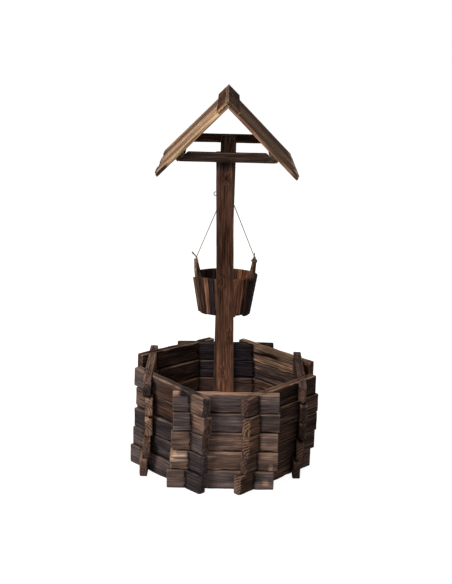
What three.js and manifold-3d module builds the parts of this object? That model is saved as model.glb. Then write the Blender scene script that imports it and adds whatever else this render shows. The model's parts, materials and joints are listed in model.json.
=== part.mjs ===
// Wishing well planter: an eight-sided wall of half-lapped boards, two posts that
// carry a pitched slat roof, and a stave bucket that hangs by twine from a round bar.
// Millimetres, +Z up, the front of the well faces -Y, origin under the middle at the ground.

import * as THREE from "three";
import { mergeVertices } from "three/addons/utils/BufferGeometryUtils.js";
import Module from "manifold-3d";

const wasm = await Module();
wasm.setup();

// Clearances shared by the whole well
const seat_gap = 0.3;
const cut_overrun = 6;

// Wall boards and their half laps
const side_count = 8;
const course_count = 5;
const course_pitch = 59;
const board_height = course_pitch - seat_gap;
const board_thickness = 24;
const board_arris = 2.2;
const wall_side = 188;
const board_overhang = 58;
const lap_gap = 0.4;
const lap_seat_gap = 1.6;
const course_shift = 8;
const course_shift_shares = [-1.03, 0.06, 0.66, 0.82, 0.16];

// How much longer than the overhang each board's ends are: a row for each course from the
// ground, its places in the order of the sides below
const end_trim = 10;
const left_end_shares = [
  [0.2, 0.6, 1.3, 0.1, 0.7, 0.4, -0.5, -0.1],
  [0.2, -0.4, 1.2, 0.2, 0.6, -0.7, 0.1, 0],
  [0.4, -0.3, -0.1, 0.4, -0.4, -0.6, 0.2, 0.1],
  [0, 0.1, 0.7, 0.4, -0.5, -0.1, 0.4, -0.4],
  [-0.4, 0.2, 0.6, -0.2, 0.3, 0.7, 0.4, -0.4],
];
const right_end_shares = [
  [0.5, -0.1, 0.4, -0.4, -0.6, 0.2, 1.8, 0.6],
  [0.6, 0.2, 0.4, -0.5, -0.1, 0.4, 1.8, 0.2],
  [0, 0.1, -0.7, 0.1, 0.7, 0.4, -0.5, -0.1],
  [0.2, 0.1, -0.6, 0.2, 0.6, -0.7, 0.1, 0.5],
  [0.4, -0.5, -0.1, 0.4, 0.5, -0.2, 0.2, 0.6],
];

// The left wall's upper courses stand proud of their seats, and the boards that cross them lean
const left_wall_rise = 10;
const left_wall_rise_shares = [0, 0, 0, 0.8, 1];

// Posts, named for the wall that each stands against
const post_width = 48;
const post_thickness = 30;
const post_arris = 2;
const front_post_head = -2;
const rear_post_head = -1;
const post_ground_gap = 0.5;
const front_post_foot_x = 8;
const front_post_lean = THREE.MathUtils.degToRad(-1.29);
const rear_post_foot_x = -14.5;
const rear_post_lean = THREE.MathUtils.degToRad(0.56);

// Crossbars on the outer faces of the posts, hung from the peak of the purlins' undersides
const crossbar_height = 26;
const crossbar_thickness = 20;
const crossbar_arris = 1.5;
const front_crossbar_drop = 131;
const rear_crossbar_drop = 139;

// Roof
const roof_x = -8;
const roof_y = -8;
const roof_pitch = THREE.MathUtils.degToRad(45);
const slat_apex_z = 1108;
const slat_count = 6;
const slat_width = 78;
const slat_gap = 4;
const slat_thickness = 8.5;
const slat_length = 270;
const slat_arris = 1.2;
const slat_stagger = 5;
const left_stagger_shares = [0.4, -0.8, 0.2, -0.5, 1, -0.9];
const right_stagger_shares = [0.4, 2, 1.8, 1.2, 1.3, 0.7];
const purlin_width = 28;
const purlin_thickness = 9;
const cap_thickness = 8.3;
const left_cap_width = 36;
const right_cap_width = 48;
const cap_overhang = 5;

// Round bar that the twine hangs over
const bar_diameter = 22;
const bar_x = -6.6;
const bar_drop = 138;
const bar_seat_depth = 14;
const bar_facets = 20;

// Bucket: two arcs of staves with an ear between them on each side
const front_stave_count = 14;
const rear_stave_count = 15;
const stave_thickness = 8;
const stave_groove = 1.3;
const stave_groove_share = 0.16;
const rim_drop = 229;
const rim_radius = 97;
const bucket_height = 118;
const bucket_taper = 20;
const front_foot_rise = 5;
const rim_dip = 19;
const rim_dip_reach = THREE.MathUtils.degToRad(52);
const bucket_yaw = THREE.MathUtils.degToRad(-30);
const bucket_tilt = THREE.MathUtils.degToRad(-4);
const floor_thickness = 9;
const floor_lift = 9;
const floor_facets = 32;
const ear_slot = THREE.MathUtils.degToRad(17);
const ear_lead = THREE.MathUtils.degToRad(3.6);
const ear_thickness = 8.6;
const ear_tip_radius = 5.5;
const ear_foot_lift = 1.6;
const ear_arris = 1.1;
const ear_tip_points = 7;
const left_ear_rise = 38;
const right_ear_rise = 60;
const ear_hole_drop = 11;
const ear_hole_diameter = 5;

// Twine
const twine_diameter = 2.4;
const twine_sides = 8;
const twine_steps = 88;
const twine_bar_gap = 0.6;
const twine_tail = 7;
const twine_inset = 2.6;
const twine_knot_rise = 3.6;
const twine_knot_inset = 3.2;
const twine_slew = 4;
const twine_arc_points = 7;

// Wire staple in the left side of the front post
const staple_wire = 2.2;
const staple_span = 10;
const staple_stand = 5;
const staple_leg = 9;
const staple_drop = 90;

// Lengths that follow from the sizes above
const wall_apothem = (wall_side * (1 + Math.SQRT2)) / 2;
const wall_inner = wall_apothem - board_thickness / 2;
const post_y = wall_inner - seat_gap - post_thickness / 2;
const crossbar_y = wall_inner + crossbar_thickness / 2;
const eighth_turn = Math.PI / 4;
const roof_stack = slat_thickness + purlin_thickness + seat_gap;
const purlin_apex_z = slat_apex_z - roof_stack / Math.cos(roof_pitch);
const front_crossbar_z = purlin_apex_z - front_crossbar_drop;
const rear_crossbar_z = purlin_apex_z - rear_crossbar_drop;
const purlin_foot = roof_stack + front_crossbar_drop / Math.sin(roof_pitch);
const bar_z = front_crossbar_z - bar_drop;
const rim_z = bar_z - rim_drop;
const staple_z = front_crossbar_z - staple_drop;
const taper_angle = Math.atan(bucket_taper / bucket_height);

function material(colour, roughness, metalness = 0) {
  return new THREE.MeshStandardMaterial({ color: colour, roughness, metalness });
}

const charred = material(0x4a3c33, 0.85);
const scorched = material(0x5b4636, 0.85);
const reddish = material(0x5c4130, 0.8);
const pale = material(0xb58d68, 0.8);
const dark_slat = material(0x5a4636, 0.8);
const stave_wood = material(0x6b4a36, 0.8);
const jute = material(0xb8a888, 0.9);
const wire = material(0x6a6460, 0.45, 0.9);

// A closed geometry as a boolean solid
function solidOf(geometry) {
  const bare = geometry.clone();
  bare.deleteAttribute("normal");
  bare.deleteAttribute("uv");
  const merged = mergeVertices(bare, seat_gap / 1000);
  return new wasm.Manifold(
    new wasm.Mesh({
      numProp: 3,
      vertProperties: Float32Array.from(merged.attributes.position.array),
      triVerts: Uint32Array.from(merged.index.array),
    }),
  );
}

// A boolean solid back as a geometry
function geometryOf(solid) {
  const mesh = solid.getMesh();
  const geometry = new THREE.BufferGeometry();
  geometry.setAttribute("position", new THREE.BufferAttribute(mesh.vertProperties, 3));
  geometry.setIndex(new THREE.BufferAttribute(mesh.triVerts, 1));
  geometry.computeVertexNormals();
  return geometry;
}

function cut(geometry, tools) {
  return geometryOf(tools.reduce((rest, tool) => rest.subtract(solidOf(tool)), solidOf(geometry)));
}

function fuse(geometries) {
  return geometryOf(geometries.map(solidOf).reduce((whole, part) => whole.add(part)));
}

// A flat board: an outline in X and Z, its thickness along Y, its face arrises eased
function board(points, thickness, arris, holes = []) {
  const outline = new THREE.Shape(points.map(([x, z]) => new THREE.Vector2(x, z)));
  outline.holes.push(...holes);
  const geometry = new THREE.ExtrudeGeometry(outline, {
    depth: thickness - 2 * arris,
    bevelEnabled: true,
    bevelThickness: arris,
    bevelSize: arris,
    bevelOffset: -arris,
    bevelSegments: 1,
    curveSegments: 3,
  });
  geometry.translate(0, 0, arris - thickness / 2);
  geometry.rotateX(Math.PI / 2);
  return geometry;
}

function rectangle(x0, z0, x1, z1, corner) {
  return [
    [x0 + corner, z0],
    [x1 - corner, z0],
    [x1, z0 + corner],
    [x1, z1 - corner],
    [x1 - corner, z1],
    [x0 + corner, z1],
    [x0, z1 - corner],
    [x0, z0 + corner],
  ];
}

// A round cutter or bar with its axis along Y
function rod(diameter, length, facets) {
  return new THREE.CylinderGeometry(diameter / 2, diameter / 2, length, facets);
}

function tube(curve, diameter, steps) {
  const ring = new THREE.Shape();
  ring.absarc(0, 0, diameter / 2, 0, 2 * Math.PI, false);
  return new THREE.ExtrudeGeometry(ring, {
    steps,
    extrudePath: curve,
    curveSegments: twine_sides / 2,
  });
}

function piece(name, geometry, finish) {
  const mesh = new THREE.Mesh(geometry, finish);
  mesh.name = name;
  return mesh;
}

const well = new THREE.Group();

// Wall: each board laps over the next one round and under the one before it
const side_names = [
  "front",
  "front_right",
  "right",
  "rear_right",
  "rear",
  "rear_left",
  "left",
  "front_left",
];
const lap = wall_side / 2;
const run_out = lap + board_overhang;

function leanFor(rise) {
  return Math.asin(rise / (lap + run_out));
}

// Where a board stands in its course: the left one is lifted, and the two that cross it
// lean up to it about the foot of their far ends
function boardPlace(side, rise) {
  const place = new THREE.Matrix4().makeRotationZ(side * eighth_turn);
  place.multiply(new THREE.Matrix4().makeTranslation(0, -wall_apothem, 0));
  const lean = leanFor(rise);
  if (side_names[side] === "left") {
    return place.multiply(new THREE.Matrix4().makeTranslation(0, 0, rise));
  }
  if (side_names[side] === "front_left") {
    return place.multiply(leanAbout(run_out, lean));
  }
  if (side_names[side] === "rear_left") {
    return place.multiply(leanAbout(-run_out, -lean));
  }
  return place;
}

function leanAbout(x, angle) {
  const lean = new THREE.Matrix4().makeTranslation(x, 0, 0);
  lean.multiply(new THREE.Matrix4().makeRotationY(angle));
  return lean.multiply(new THREE.Matrix4().makeTranslation(-x, 0, 0));
}

// The stretch of a board about a crossing at X, from Z0 to Z1, with room round it
function lapCutter(x, z0, z1, place) {
  const cutter = new THREE.BoxGeometry(2 * board_overhang, board_thickness + 2 * lap_gap, z1 - z0);
  cutter.translate(x, 0, (z0 + z1) / 2);
  return cutter.applyMatrix4(place);
}

// Each lap is cut by the half that the board across it keeps there
function wallBoard(course, side) {
  const left = -run_out - end_trim * left_end_shares[course][side];
  const right = run_out + end_trim * right_end_shares[course][side];
  const rise = left_wall_rise * left_wall_rise_shares[course];
  const next = boardPlace((side + 1) % side_count, rise);
  const before_side = (side + side_count - 1) % side_count;
  const before = boardPlace(before_side, rise);
  const blank = board(
    rectangle(left, 0, right, board_height, board_arris),
    board_thickness,
    board_arris,
  );
  const middle = board_height / 2;
  const is_after_leaning = side_names[before_side] === "front_left";
  const lean_lift = is_after_leaning ? board_overhang * Math.sin(leanFor(rise)) : 0;
  const seat = middle - lap_seat_gap / 2 - lean_lift;
  const cutters = [
    lapCutter(-lap, -cut_overrun, middle + lap_seat_gap / 2, next),
    lapCutter(lap, seat, board_height + cut_overrun, before),
  ];
  const rise_under = left_wall_rise * (left_wall_rise_shares[course - 1] ?? 0);
  if (is_after_leaning && rise_under > 0) {
    const shift = course_shift * (course_shift_shares[course - 1] - course_shift_shares[course]);
    const under = boardPlace(before_side, rise_under);
    under.premultiply(new THREE.Matrix4().makeTranslation(shift, 0, -course_pitch));
    cutters.push(lapCutter(lap, middle, board_height + seat_gap, under));
  }
  return cut(blank.applyMatrix4(boardPlace(side, rise)), cutters);
}

for (let course = 0; course < course_count; course += 1) {
  const ring = new THREE.Group();
  ring.position.set(course_shift * course_shift_shares[course], 0, course * course_pitch);
  side_names.forEach((side_name, side) => {
    const finish = (course + side) % 2 === 0 ? charred : scorched;
    ring.add(piece(`course_${course + 1}_${side_name}`, wallBoard(course, side), finish));
  });
  well.add(ring);
}

// Posts and crossbars
function postPlace(name) {
  const is_front = name === "front";
  const frame = new THREE.Group();
  frame.position.set(is_front ? front_post_foot_x : rear_post_foot_x, is_front ? -post_y : post_y, 0);
  frame.rotation.y = is_front ? front_post_lean : rear_post_lean;
  frame.updateMatrixWorld(true);
  return frame;
}

function postGeometry(frame, top, extra_cuts) {
  const lift = Math.abs(Math.sin(frame.rotation.y)) * (post_width / 2) + post_ground_gap;
  const blank = board(
    rectangle(-post_width / 2, lift, post_width / 2, top, post_arris),
    post_thickness,
    post_arris,
  );
  // The bar's seat is square to the wall, so it is carried into the leaning post's own frame
  const seat = rod(bar_diameter + 2 * seat_gap, 2 * bar_seat_depth, bar_facets);
  const inner_face = frame.position.y - Math.sign(frame.position.y) * (post_thickness / 2);
  seat.translate(bar_x, inner_face, bar_z);
  seat.applyMatrix4(frame.matrixWorld.clone().invert());
  return cut(blank, [seat, ...extra_cuts]);
}

const front_post_frame = postPlace("front");
const rear_post_frame = postPlace("rear");

const staple_legs = [-1, 1].map((end) => {
  const bore = rod(staple_wire + 2 * seat_gap, 2 * (staple_leg + seat_gap), twine_sides);
  bore.rotateZ(Math.PI / 2);
  bore.translate(-post_width / 2, 0, staple_z + (end * staple_span) / 2);
  return bore;
});

front_post_frame.add(
  piece(
    "front_post",
    postGeometry(front_post_frame, front_crossbar_z + crossbar_height + front_post_head, staple_legs),
    reddish,
  ),
);
rear_post_frame.add(
  piece(
    "rear_post",
    postGeometry(rear_post_frame, rear_crossbar_z + crossbar_height + rear_post_head, []),
    reddish,
  ),
);
well.add(front_post_frame, rear_post_frame);

function crossbar(bottom_z) {
  const half = (z) => (purlin_apex_z - z) / Math.tan(roof_pitch);
  const top_z = bottom_z + crossbar_height;
  const outline = [
    [-half(bottom_z), bottom_z],
    [half(bottom_z), bottom_z],
    [half(top_z), top_z],
    [-half(top_z), top_z],
  ];
  return board(outline, crossbar_thickness, crossbar_arris);
}

for (const [name, z, side] of [
  ["front_crossbar", front_crossbar_z, -1],
  ["rear_crossbar", rear_crossbar_z, 1],
]) {
  const mesh = piece(name, crossbar(z), charred);
  mesh.position.set(roof_x, side * crossbar_y, 0);
  well.add(mesh);
}

// Roof: on each side, six slats down the slope on one purlin, under a two-board ridge cap
const slat_pitch = slat_width + slat_gap;
const roof_depth = slat_count * slat_pitch - slat_gap;

// A frame at the ridge with X down the slope and Z out of the roof
function slope(side) {
  const frame = new THREE.Group();
  frame.position.set(roof_x, roof_y, slat_apex_z);
  frame.rotation.set(0, side * roof_pitch, side < 0 ? Math.PI : 0);
  return frame;
}

// A board that lies in the slope, from X0 to X1 down it, Y0 to Y1 along the ridge
function slopeBoard(x0, x1, y0, y1, z0, z1, arris) {
  const geometry = board(rectangle(x0, y0, x1, y1, arris), z1 - z0, arris);
  geometry.rotateX(-Math.PI / 2);
  geometry.translate(0, 0, (z0 + z1) / 2);
  return geometry;
}

function roofPanel(upper_end, stagger_shares) {
  const slats = Array.from({ length: slat_count }, (_, place) => {
    const y0 = place * slat_pitch - roof_depth / 2;
    const foot = slat_length + slat_stagger * stagger_shares[place];
    return slopeBoard(upper_end, foot, y0, y0 + slat_width, -slat_thickness, 0, slat_arris);
  });
  const purlin_top = -slat_thickness;
  const purlin_end = crossbar_y + crossbar_thickness / 2;
  const purlin = slopeBoard(
    purlin_foot - purlin_width,
    purlin_foot,
    -purlin_end,
    purlin_end,
    purlin_top - purlin_thickness,
    purlin_top + slat_arris / 2,
    slat_arris / 2,
  );
  return fuse([...slats, purlin]);
}

const cap_top = seat_gap + cap_thickness;
const cap_half = roof_depth / 2 + cap_overhang;
const left_slope = slope(-1);
left_slope.add(
  piece("left_roof_panel", roofPanel(0, left_stagger_shares), pale),
  piece(
    "left_ridge_cap",
    slopeBoard(0, left_cap_width, -cap_half, cap_half, seat_gap, cap_top, slat_arris),
    dark_slat,
  ),
);
const right_slope = slope(1);
right_slope.add(
  piece(
    "right_roof_panel",
    roofPanel(slat_thickness + seat_gap, right_stagger_shares),
    dark_slat,
  ),
  piece(
    "right_ridge_cap",
    slopeBoard(-cap_top, right_cap_width - cap_top, -cap_half, cap_half, seat_gap, cap_top, slat_arris),
    dark_slat,
  ),
);
well.add(left_slope, right_slope);

// Round bar between the posts
const bar_half = post_y - post_thickness / 2 + bar_seat_depth - seat_gap;
const bar = piece("rope_bar", rod(bar_diameter, 2 * bar_half, bar_facets), scorched);
bar.position.set(bar_x, 0, bar_z);
well.add(bar);

// Staple: two legs in the post and a round bow that stands out of it
function stapleCurve() {
  const face = -post_width / 2;
  const low = staple_z - staple_span / 2;
  const high = staple_z + staple_span / 2;
  const bow = staple_span / 2;
  const shoulder = face - staple_stand + bow / 2;
  const path = new THREE.CurvePath();
  const at = (x, z) => new THREE.Vector3(x, 0, z);
  path.add(new THREE.LineCurve3(at(face + staple_leg, high), at(shoulder, high)));
  path.add(
    new THREE.CubicBezierCurve3(
      at(shoulder, high),
      at(shoulder - bow, high),
      at(shoulder - bow, low),
      at(shoulder, low),
    ),
  );
  path.add(new THREE.LineCurve3(at(shoulder, low), at(face + staple_leg, low)));
  return path;
}

const staple = piece("post_staple", tube(stapleCurve(), staple_wire, side_count * 3), wire);
front_post_frame.add(staple);

// Bucket: built upright with its rim middle at the origin and its ears on X, then hung
const stave_inner = rim_radius - stave_thickness;

// Radius of the staves' inner faces at a depth under the rim
function innerRadius(depth) {
  return stave_inner - (bucket_taper * depth) / bucket_height;
}

// Draws a straight-sided arc in towards its foot and hangs it from the depths under the rim
// that its tops have at each angle
function taper(geometry, length, topDepth) {
  const position = geometry.attributes.position;
  for (let index = 0; index < position.count; index += 1) {
    const x = position.getX(index);
    const y = position.getY(index);
    const share = position.getZ(index) / length;
    const depth = length * (1 - share) + topDepth(Math.atan2(y, x)) * share;
    const radius = Math.hypot(x, y);
    const scale = (radius - (bucket_taper * depth) / bucket_height) / radius;
    position.setXYZ(index, x * scale, y * scale, -depth);
  }
  return geometry;
}

// An arc of staves between two angles, with a groove at each joint
function staveArc(first, last, count, length, topDepth) {
  const turn = (last - first) / count;
  const edge = (turn / 2) * (1 - stave_groove_share);
  const points = [];
  const mark = (radius, angle) => {
    points.push(new THREE.Vector2(radius * Math.cos(angle), radius * Math.sin(angle)));
  };
  for (let stave = 0; stave < count; stave += 1) {
    const middle = first + (stave + 1 / 2) * turn;
    mark(rim_radius, middle - edge);
    mark(rim_radius, middle + edge);
    if (stave < count - 1) {
      mark(rim_radius - stave_groove, middle + turn / 2);
    }
  }
  for (let joint = count; joint >= 0; joint -= 1) {
    mark(stave_inner, first + joint * turn);
  }
  const outline = new THREE.Shape(points);
  const straight = new THREE.ExtrudeGeometry(outline, { depth: length, bevelEnabled: false });
  return taper(straight, length, topDepth);
}

const floor_foot_depth = bucket_height - floor_lift;
const floor_top_depth = floor_foot_depth - floor_thickness;

function bucketFloor() {
  const facet_share = Math.cos(Math.PI / front_stave_count / 2);
  const geometry = new THREE.CylinderGeometry(
    innerRadius(floor_top_depth) * facet_share - seat_gap,
    innerRadius(floor_foot_depth) * facet_share - seat_gap,
    floor_thickness,
    floor_facets,
  );
  geometry.rotateX(Math.PI / 2);
  geometry.translate(0, 0, -(floor_top_depth + floor_foot_depth) / 2);
  return geometry;
}

// Lengths along an ear from its foot
const ear_shoulder = bucket_height / Math.cos(taper_angle);

function earWidth(depth) {
  return 2 * (innerRadius(depth) * Math.sin(ear_slot / 2) - seat_gap);
}

// An ear fills its slot up to the rim, then narrows to a round tip
function earBoard(rise) {
  const foot = earWidth(bucket_height) / 2;
  const shoulder = earWidth(0) / 2;
  const tip = ear_shoulder + rise - ear_tip_radius;
  const outline = [
    [-foot, ear_foot_lift],
    [foot, ear_foot_lift],
    [shoulder, ear_shoulder],
  ];
  for (let step = 0; step < ear_tip_points; step += 1) {
    const angle = (Math.PI * step) / (ear_tip_points - 1);
    outline.push([ear_tip_radius * Math.cos(angle), tip + ear_tip_radius * Math.sin(angle)]);
  }
  outline.push([-shoulder, ear_shoulder]);
  const geometry = board(outline, ear_thickness, ear_arris);
  geometry.rotateZ(Math.PI / 2);
  geometry.translate(ear_thickness / 2, 0, 0);
  return geometry;
}

// Leans an ear with the staves and turns it round to its slot
function earPlace(angle) {
  const place = new THREE.Matrix4().makeRotationZ(angle);
  place.multiply(new THREE.Matrix4().makeTranslation(innerRadius(bucket_height), 0, -bucket_height));
  return place.multiply(new THREE.Matrix4().makeRotationY(taper_angle));
}

function earHole(place, rise) {
  const middle = new THREE.Vector3(ear_thickness / 2, 0, ear_shoulder + rise - ear_hole_drop);
  return middle.applyMatrix4(place);
}

const right_place = earPlace(-ear_lead);
const left_place = earPlace(Math.PI + ear_lead);
const right_hole = earHole(right_place, right_ear_rise);
const left_hole = earHole(left_place, left_ear_rise);
const hole_line = right_hole.clone().sub(left_hole).normalize();

// The holes are bored along the line between them, which the bucket tips about
function boredEar(place, rise, hole) {
  const bore = rod(ear_hole_diameter, 2 * (ear_thickness + cut_overrun), twine_sides * 2);
  const turn = new THREE.Quaternion().setFromUnitVectors(new THREE.Vector3(0, 1, 0), hole_line);
  bore.applyQuaternion(turn);
  bore.translate(hole.x, hole.y, hole.z);
  return cut(earBoard(rise).applyMatrix4(place), [bore]);
}

const slot_edge = ear_slot / 2;
const front_first = Math.PI + ear_lead + slot_edge;
const front_last = 2 * Math.PI - ear_lead - slot_edge;

// The front staves' tops dip towards the left ear
function frontTopDepth(angle) {
  const past_ear = angle + 2 * Math.PI - front_first;
  return rim_dip * Math.max(1 - past_ear / rim_dip_reach, 0);
}

const bucket = new THREE.Group();
bucket.add(
  piece(
    "bucket_rear_staves",
    staveArc(
      slot_edge - ear_lead,
      Math.PI + ear_lead - slot_edge,
      rear_stave_count,
      bucket_height,
      () => 0,
    ),
    stave_wood,
  ),
  piece(
    "bucket_front_staves",
    staveArc(
      front_first,
      front_last,
      front_stave_count,
      bucket_height - front_foot_rise,
      frontTopDepth,
    ),
    stave_wood,
  ),
  piece("bucket_floor", bucketFloor(), scorched),
  piece("bucket_left_ear", boredEar(left_place, left_ear_rise, left_hole), stave_wood),
  piece("bucket_right_ear", boredEar(right_place, right_ear_rise, right_hole), stave_wood),
);
bucket.position.set(bar_x, 0, rim_z);
bucket.rotation.set(bucket_tilt, 0, bucket_yaw);
bucket.updateMatrixWorld(true);
[right_hole, left_hole].forEach((hole) => hole.applyMatrix4(bucket.matrixWorld));
hole_line.transformDirection(bucket.matrixWorld);
well.add(bucket);

// Which way an ear faces and rises, once the bucket hangs
function earWay(place, x, z) {
  return new THREE.Vector3(x, 0, z).transformDirection(place).transformDirection(bucket.matrixWorld);
}

// Twine: through the left ear, up to a knot over its tip, over the bar, and the same again
function twineRoute() {
  const wrap = bar_diameter / 2 + twine_diameter / 2 + twine_bar_gap;
  const end = (hole, place, side) => {
    const along = (distance) => hole.clone().addScaledVector(hole_line, side * distance);
    const out = earWay(place, 1, 0);
    const up = earWay(place, 0, 1);
    const near = (outward, upward) =>
      hole.clone().addScaledVector(out, outward).addScaledVector(up, upward);
    const inner = -ear_thickness / 2 - twine_inset;
    return [
      along(ear_thickness / 2 + twine_tail),
      hole.clone(),
      near(inner, ear_hole_diameter / 2 - twine_inset / 2),
      near(inner, ear_hole_drop / 2 + twine_inset / 2),
      near((inner - twine_knot_inset) / 2, ear_hole_drop + twine_knot_rise / 2),
      near(-twine_knot_inset, ear_hole_drop + twine_knot_rise),
    ];
  };
  const over = [];
  for (let step = 0; step < twine_arc_points; step += 1) {
    const share = step / (twine_arc_points - 1);
    const angle = Math.PI * (1 - share);
    over.push(
      new THREE.Vector3(
        bar_x + wrap * Math.cos(angle),
        twine_slew * (1 - 2 * share),
        bar_z + wrap * Math.sin(angle),
      ),
    );
  }
  const left = end(left_hole, left_place, -1);
  const right = end(right_hole, right_place, 1).reverse();
  const straight = (from, to) => [1, 2, 3].map((part) => from.clone().lerp(to, part / 4));
  return [
    ...left,
    ...straight(left[left.length - 1], over[0]),
    ...over,
    ...straight(over[twine_arc_points - 1], right[0]),
    ...right,
  ];
}

// A curve whose steps keep to its points, so that they lie close together in its bends
class PointwiseCurve extends THREE.CatmullRomCurve3 {
  getPointAt(share, target) {
    return this.getPoint(share, target);
  }

  getTangentAt(share, target) {
    return this.getTangent(share, target);
  }
}

const twine_curve = new PointwiseCurve(twineRoute(), false, "centripetal");
well.add(piece("twine", tube(twine_curve, twine_diameter, twine_steps), jute));

export default well;
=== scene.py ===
"""Wishing well planter: an octagon of scorched half-lapped boards, two posts, a slat roof and a hanging stave bucket.

Every length is in metres. The front of the well faces -Y and the origin lies under its middle, on the ground.
"""

import json
import logging
import math
from dataclasses import dataclass, replace
from enum import Enum
from typing import Callable, Iterator, NamedTuple, Sequence

import bpy
import numpy as np
from mathutils import Matrix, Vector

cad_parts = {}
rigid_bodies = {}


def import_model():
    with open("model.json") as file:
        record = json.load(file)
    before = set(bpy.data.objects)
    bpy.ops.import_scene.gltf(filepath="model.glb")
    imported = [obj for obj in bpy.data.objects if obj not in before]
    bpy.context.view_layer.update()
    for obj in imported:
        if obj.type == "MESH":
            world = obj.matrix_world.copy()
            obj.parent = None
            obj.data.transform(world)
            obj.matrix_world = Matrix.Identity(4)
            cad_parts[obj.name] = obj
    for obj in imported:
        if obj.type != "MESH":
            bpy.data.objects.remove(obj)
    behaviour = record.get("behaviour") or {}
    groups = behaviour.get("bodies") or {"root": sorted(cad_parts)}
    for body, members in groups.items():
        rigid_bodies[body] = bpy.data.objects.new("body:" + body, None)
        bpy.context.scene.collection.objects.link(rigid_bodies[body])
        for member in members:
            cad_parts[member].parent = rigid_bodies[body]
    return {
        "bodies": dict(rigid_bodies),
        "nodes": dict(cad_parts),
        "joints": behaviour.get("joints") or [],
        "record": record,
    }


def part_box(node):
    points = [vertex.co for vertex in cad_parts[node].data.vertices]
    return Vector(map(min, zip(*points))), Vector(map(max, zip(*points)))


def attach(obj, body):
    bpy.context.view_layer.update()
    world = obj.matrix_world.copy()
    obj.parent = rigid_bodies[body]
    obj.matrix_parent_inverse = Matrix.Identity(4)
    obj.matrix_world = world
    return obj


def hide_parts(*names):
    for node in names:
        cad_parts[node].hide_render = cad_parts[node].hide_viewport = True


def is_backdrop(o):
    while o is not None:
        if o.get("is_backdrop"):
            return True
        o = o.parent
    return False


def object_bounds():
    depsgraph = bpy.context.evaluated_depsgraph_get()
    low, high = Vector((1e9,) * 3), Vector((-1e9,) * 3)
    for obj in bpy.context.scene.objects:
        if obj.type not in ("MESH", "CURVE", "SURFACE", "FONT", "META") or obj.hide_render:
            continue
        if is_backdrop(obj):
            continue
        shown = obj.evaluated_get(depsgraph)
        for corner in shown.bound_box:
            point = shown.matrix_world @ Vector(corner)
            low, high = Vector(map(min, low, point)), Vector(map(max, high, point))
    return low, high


LOG = logging.getLogger("wishing_well")
MM = 0.001
X_AXIS, Y_AXIS, Z_AXIS = np.eye(3)
WHITE = (1.0, 1.0, 1.0, 1.0)
WAVE_SPREAD = (0.6, 1.7)

Vec = tuple[float, float, float]
Warp = Callable[[np.ndarray], np.ndarray]


class Tone(Enum):
    """The stains and burns of the wood, as sRGB values out of 255."""

    SOOT = (36, 31, 33)
    PITCH = (30, 21, 21)
    COAL = (46, 35, 31)
    INK = (51, 43, 46)
    MAHOGANY = (69, 46, 35)
    SLATE = (62, 54, 54)
    PLUM = (76, 58, 52)
    CLAY = (128, 101, 87)
    SMOKE = (97, 83, 80)
    BARK = (58, 43, 37)
    UMBER = (86, 63, 51)
    HUSK = (112, 89, 78)
    TAWNY = (108, 84, 67)
    OAT = (150, 115, 88)
    SIENNA = (113, 76, 58)
    RUSSET = (100, 65, 48)
    CHESTNUT = (74, 48, 36)
    COPPER = (132, 84, 56)
    AMBER = (128, 93, 72)
    STRAW = (152, 122, 102)
    FAWN = (178, 140, 114)
    PINE = (209, 171, 132)
    CREAM = (208, 178, 156)
    SAND = (222, 190, 152)
    HONEY = (188, 138, 90)
    JUTE = (186, 164, 134)
    HEMP = (118, 97, 72)
    STEEL = (112, 106, 102)

    def linear(self) -> np.ndarray:
        """The tone as linear RGB."""
        share = np.array(self.value) / 255
        return np.where(share > 0.04045, ((share + 0.055) / 1.055) ** 2.4, share / 12.92)


def tones(names: str) -> tuple[Tone, ...]:
    """The tones that a line of names lists."""
    return tuple(Tone[name] for name in names.split())


def blended(colours: np.ndarray, tone: Tone, shares: np.ndarray) -> np.ndarray:
    """Linear colours, one a row, each taken towards a tone by its own share."""
    return colours * (1 - shares[:, None]) + tone.linear() * shares[:, None]


def unit(vectors: np.ndarray) -> np.ndarray:
    """The vectors, one a row or a single one, each divided by its length."""
    return vectors / np.linalg.norm(vectors, axis=-1, keepdims=True)


def lengths_along(path: np.ndarray) -> np.ndarray:
    """How far along a path each of its points lies: the running sum of the distances between neighbours."""
    return np.concatenate([[0], np.cumsum(np.linalg.norm(np.diff(path, axis=0), axis=1))])


def ripple(points: np.ndarray, wavelength: float, seed: int, waves: int = 7) -> np.ndarray:
    """Smooth noise of about -1 to 1: the sum of sin(k . p + phase) over waves, each |k| near 2 pi / wavelength.

    Args:
        points: Points, one a row.
        wavelength: Middle wavelength of the waves.
        seed: Seed of their directions and phases.
        waves: How many waves are summed.

    Returns:
        One value for each point.
    """
    draw = np.random.default_rng(seed)
    turns = draw.normal(size=(waves, points.shape[1]))
    turns *= (draw.uniform(*WAVE_SPREAD, waves) * 2 * math.pi / wavelength / np.linalg.norm(turns, axis=1))[:, None]
    phases = draw.uniform(0, 2 * math.pi, waves)
    return np.sin(points @ turns.T + phases).sum(axis=1) / math.sqrt(waves)


def ease(values: np.ndarray | float, low: float, high: float) -> np.ndarray:
    """Smooth step 3t^2 - 2t^3 of t = (values - low) / (high - low), held to 0 and 1 outside."""
    share = np.clip((np.asarray(values) - low) / (high - low), 0, 1)
    return share * share * (3 - 2 * share)


@dataclass(frozen=True)
class Place:
    """Where a piece's own axes lie in the well: an origin, and the directions of its X, Y and Z."""

    origin: Sequence[float]
    along: Sequence[float]
    through: Sequence[float]
    across: Sequence[float]

    def carry(self, points: np.ndarray) -> np.ndarray:
        """The points, given on the piece's own axes, in the well."""
        return points @ np.array([self.along, self.through, self.across]) + np.array(self.origin)


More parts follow.
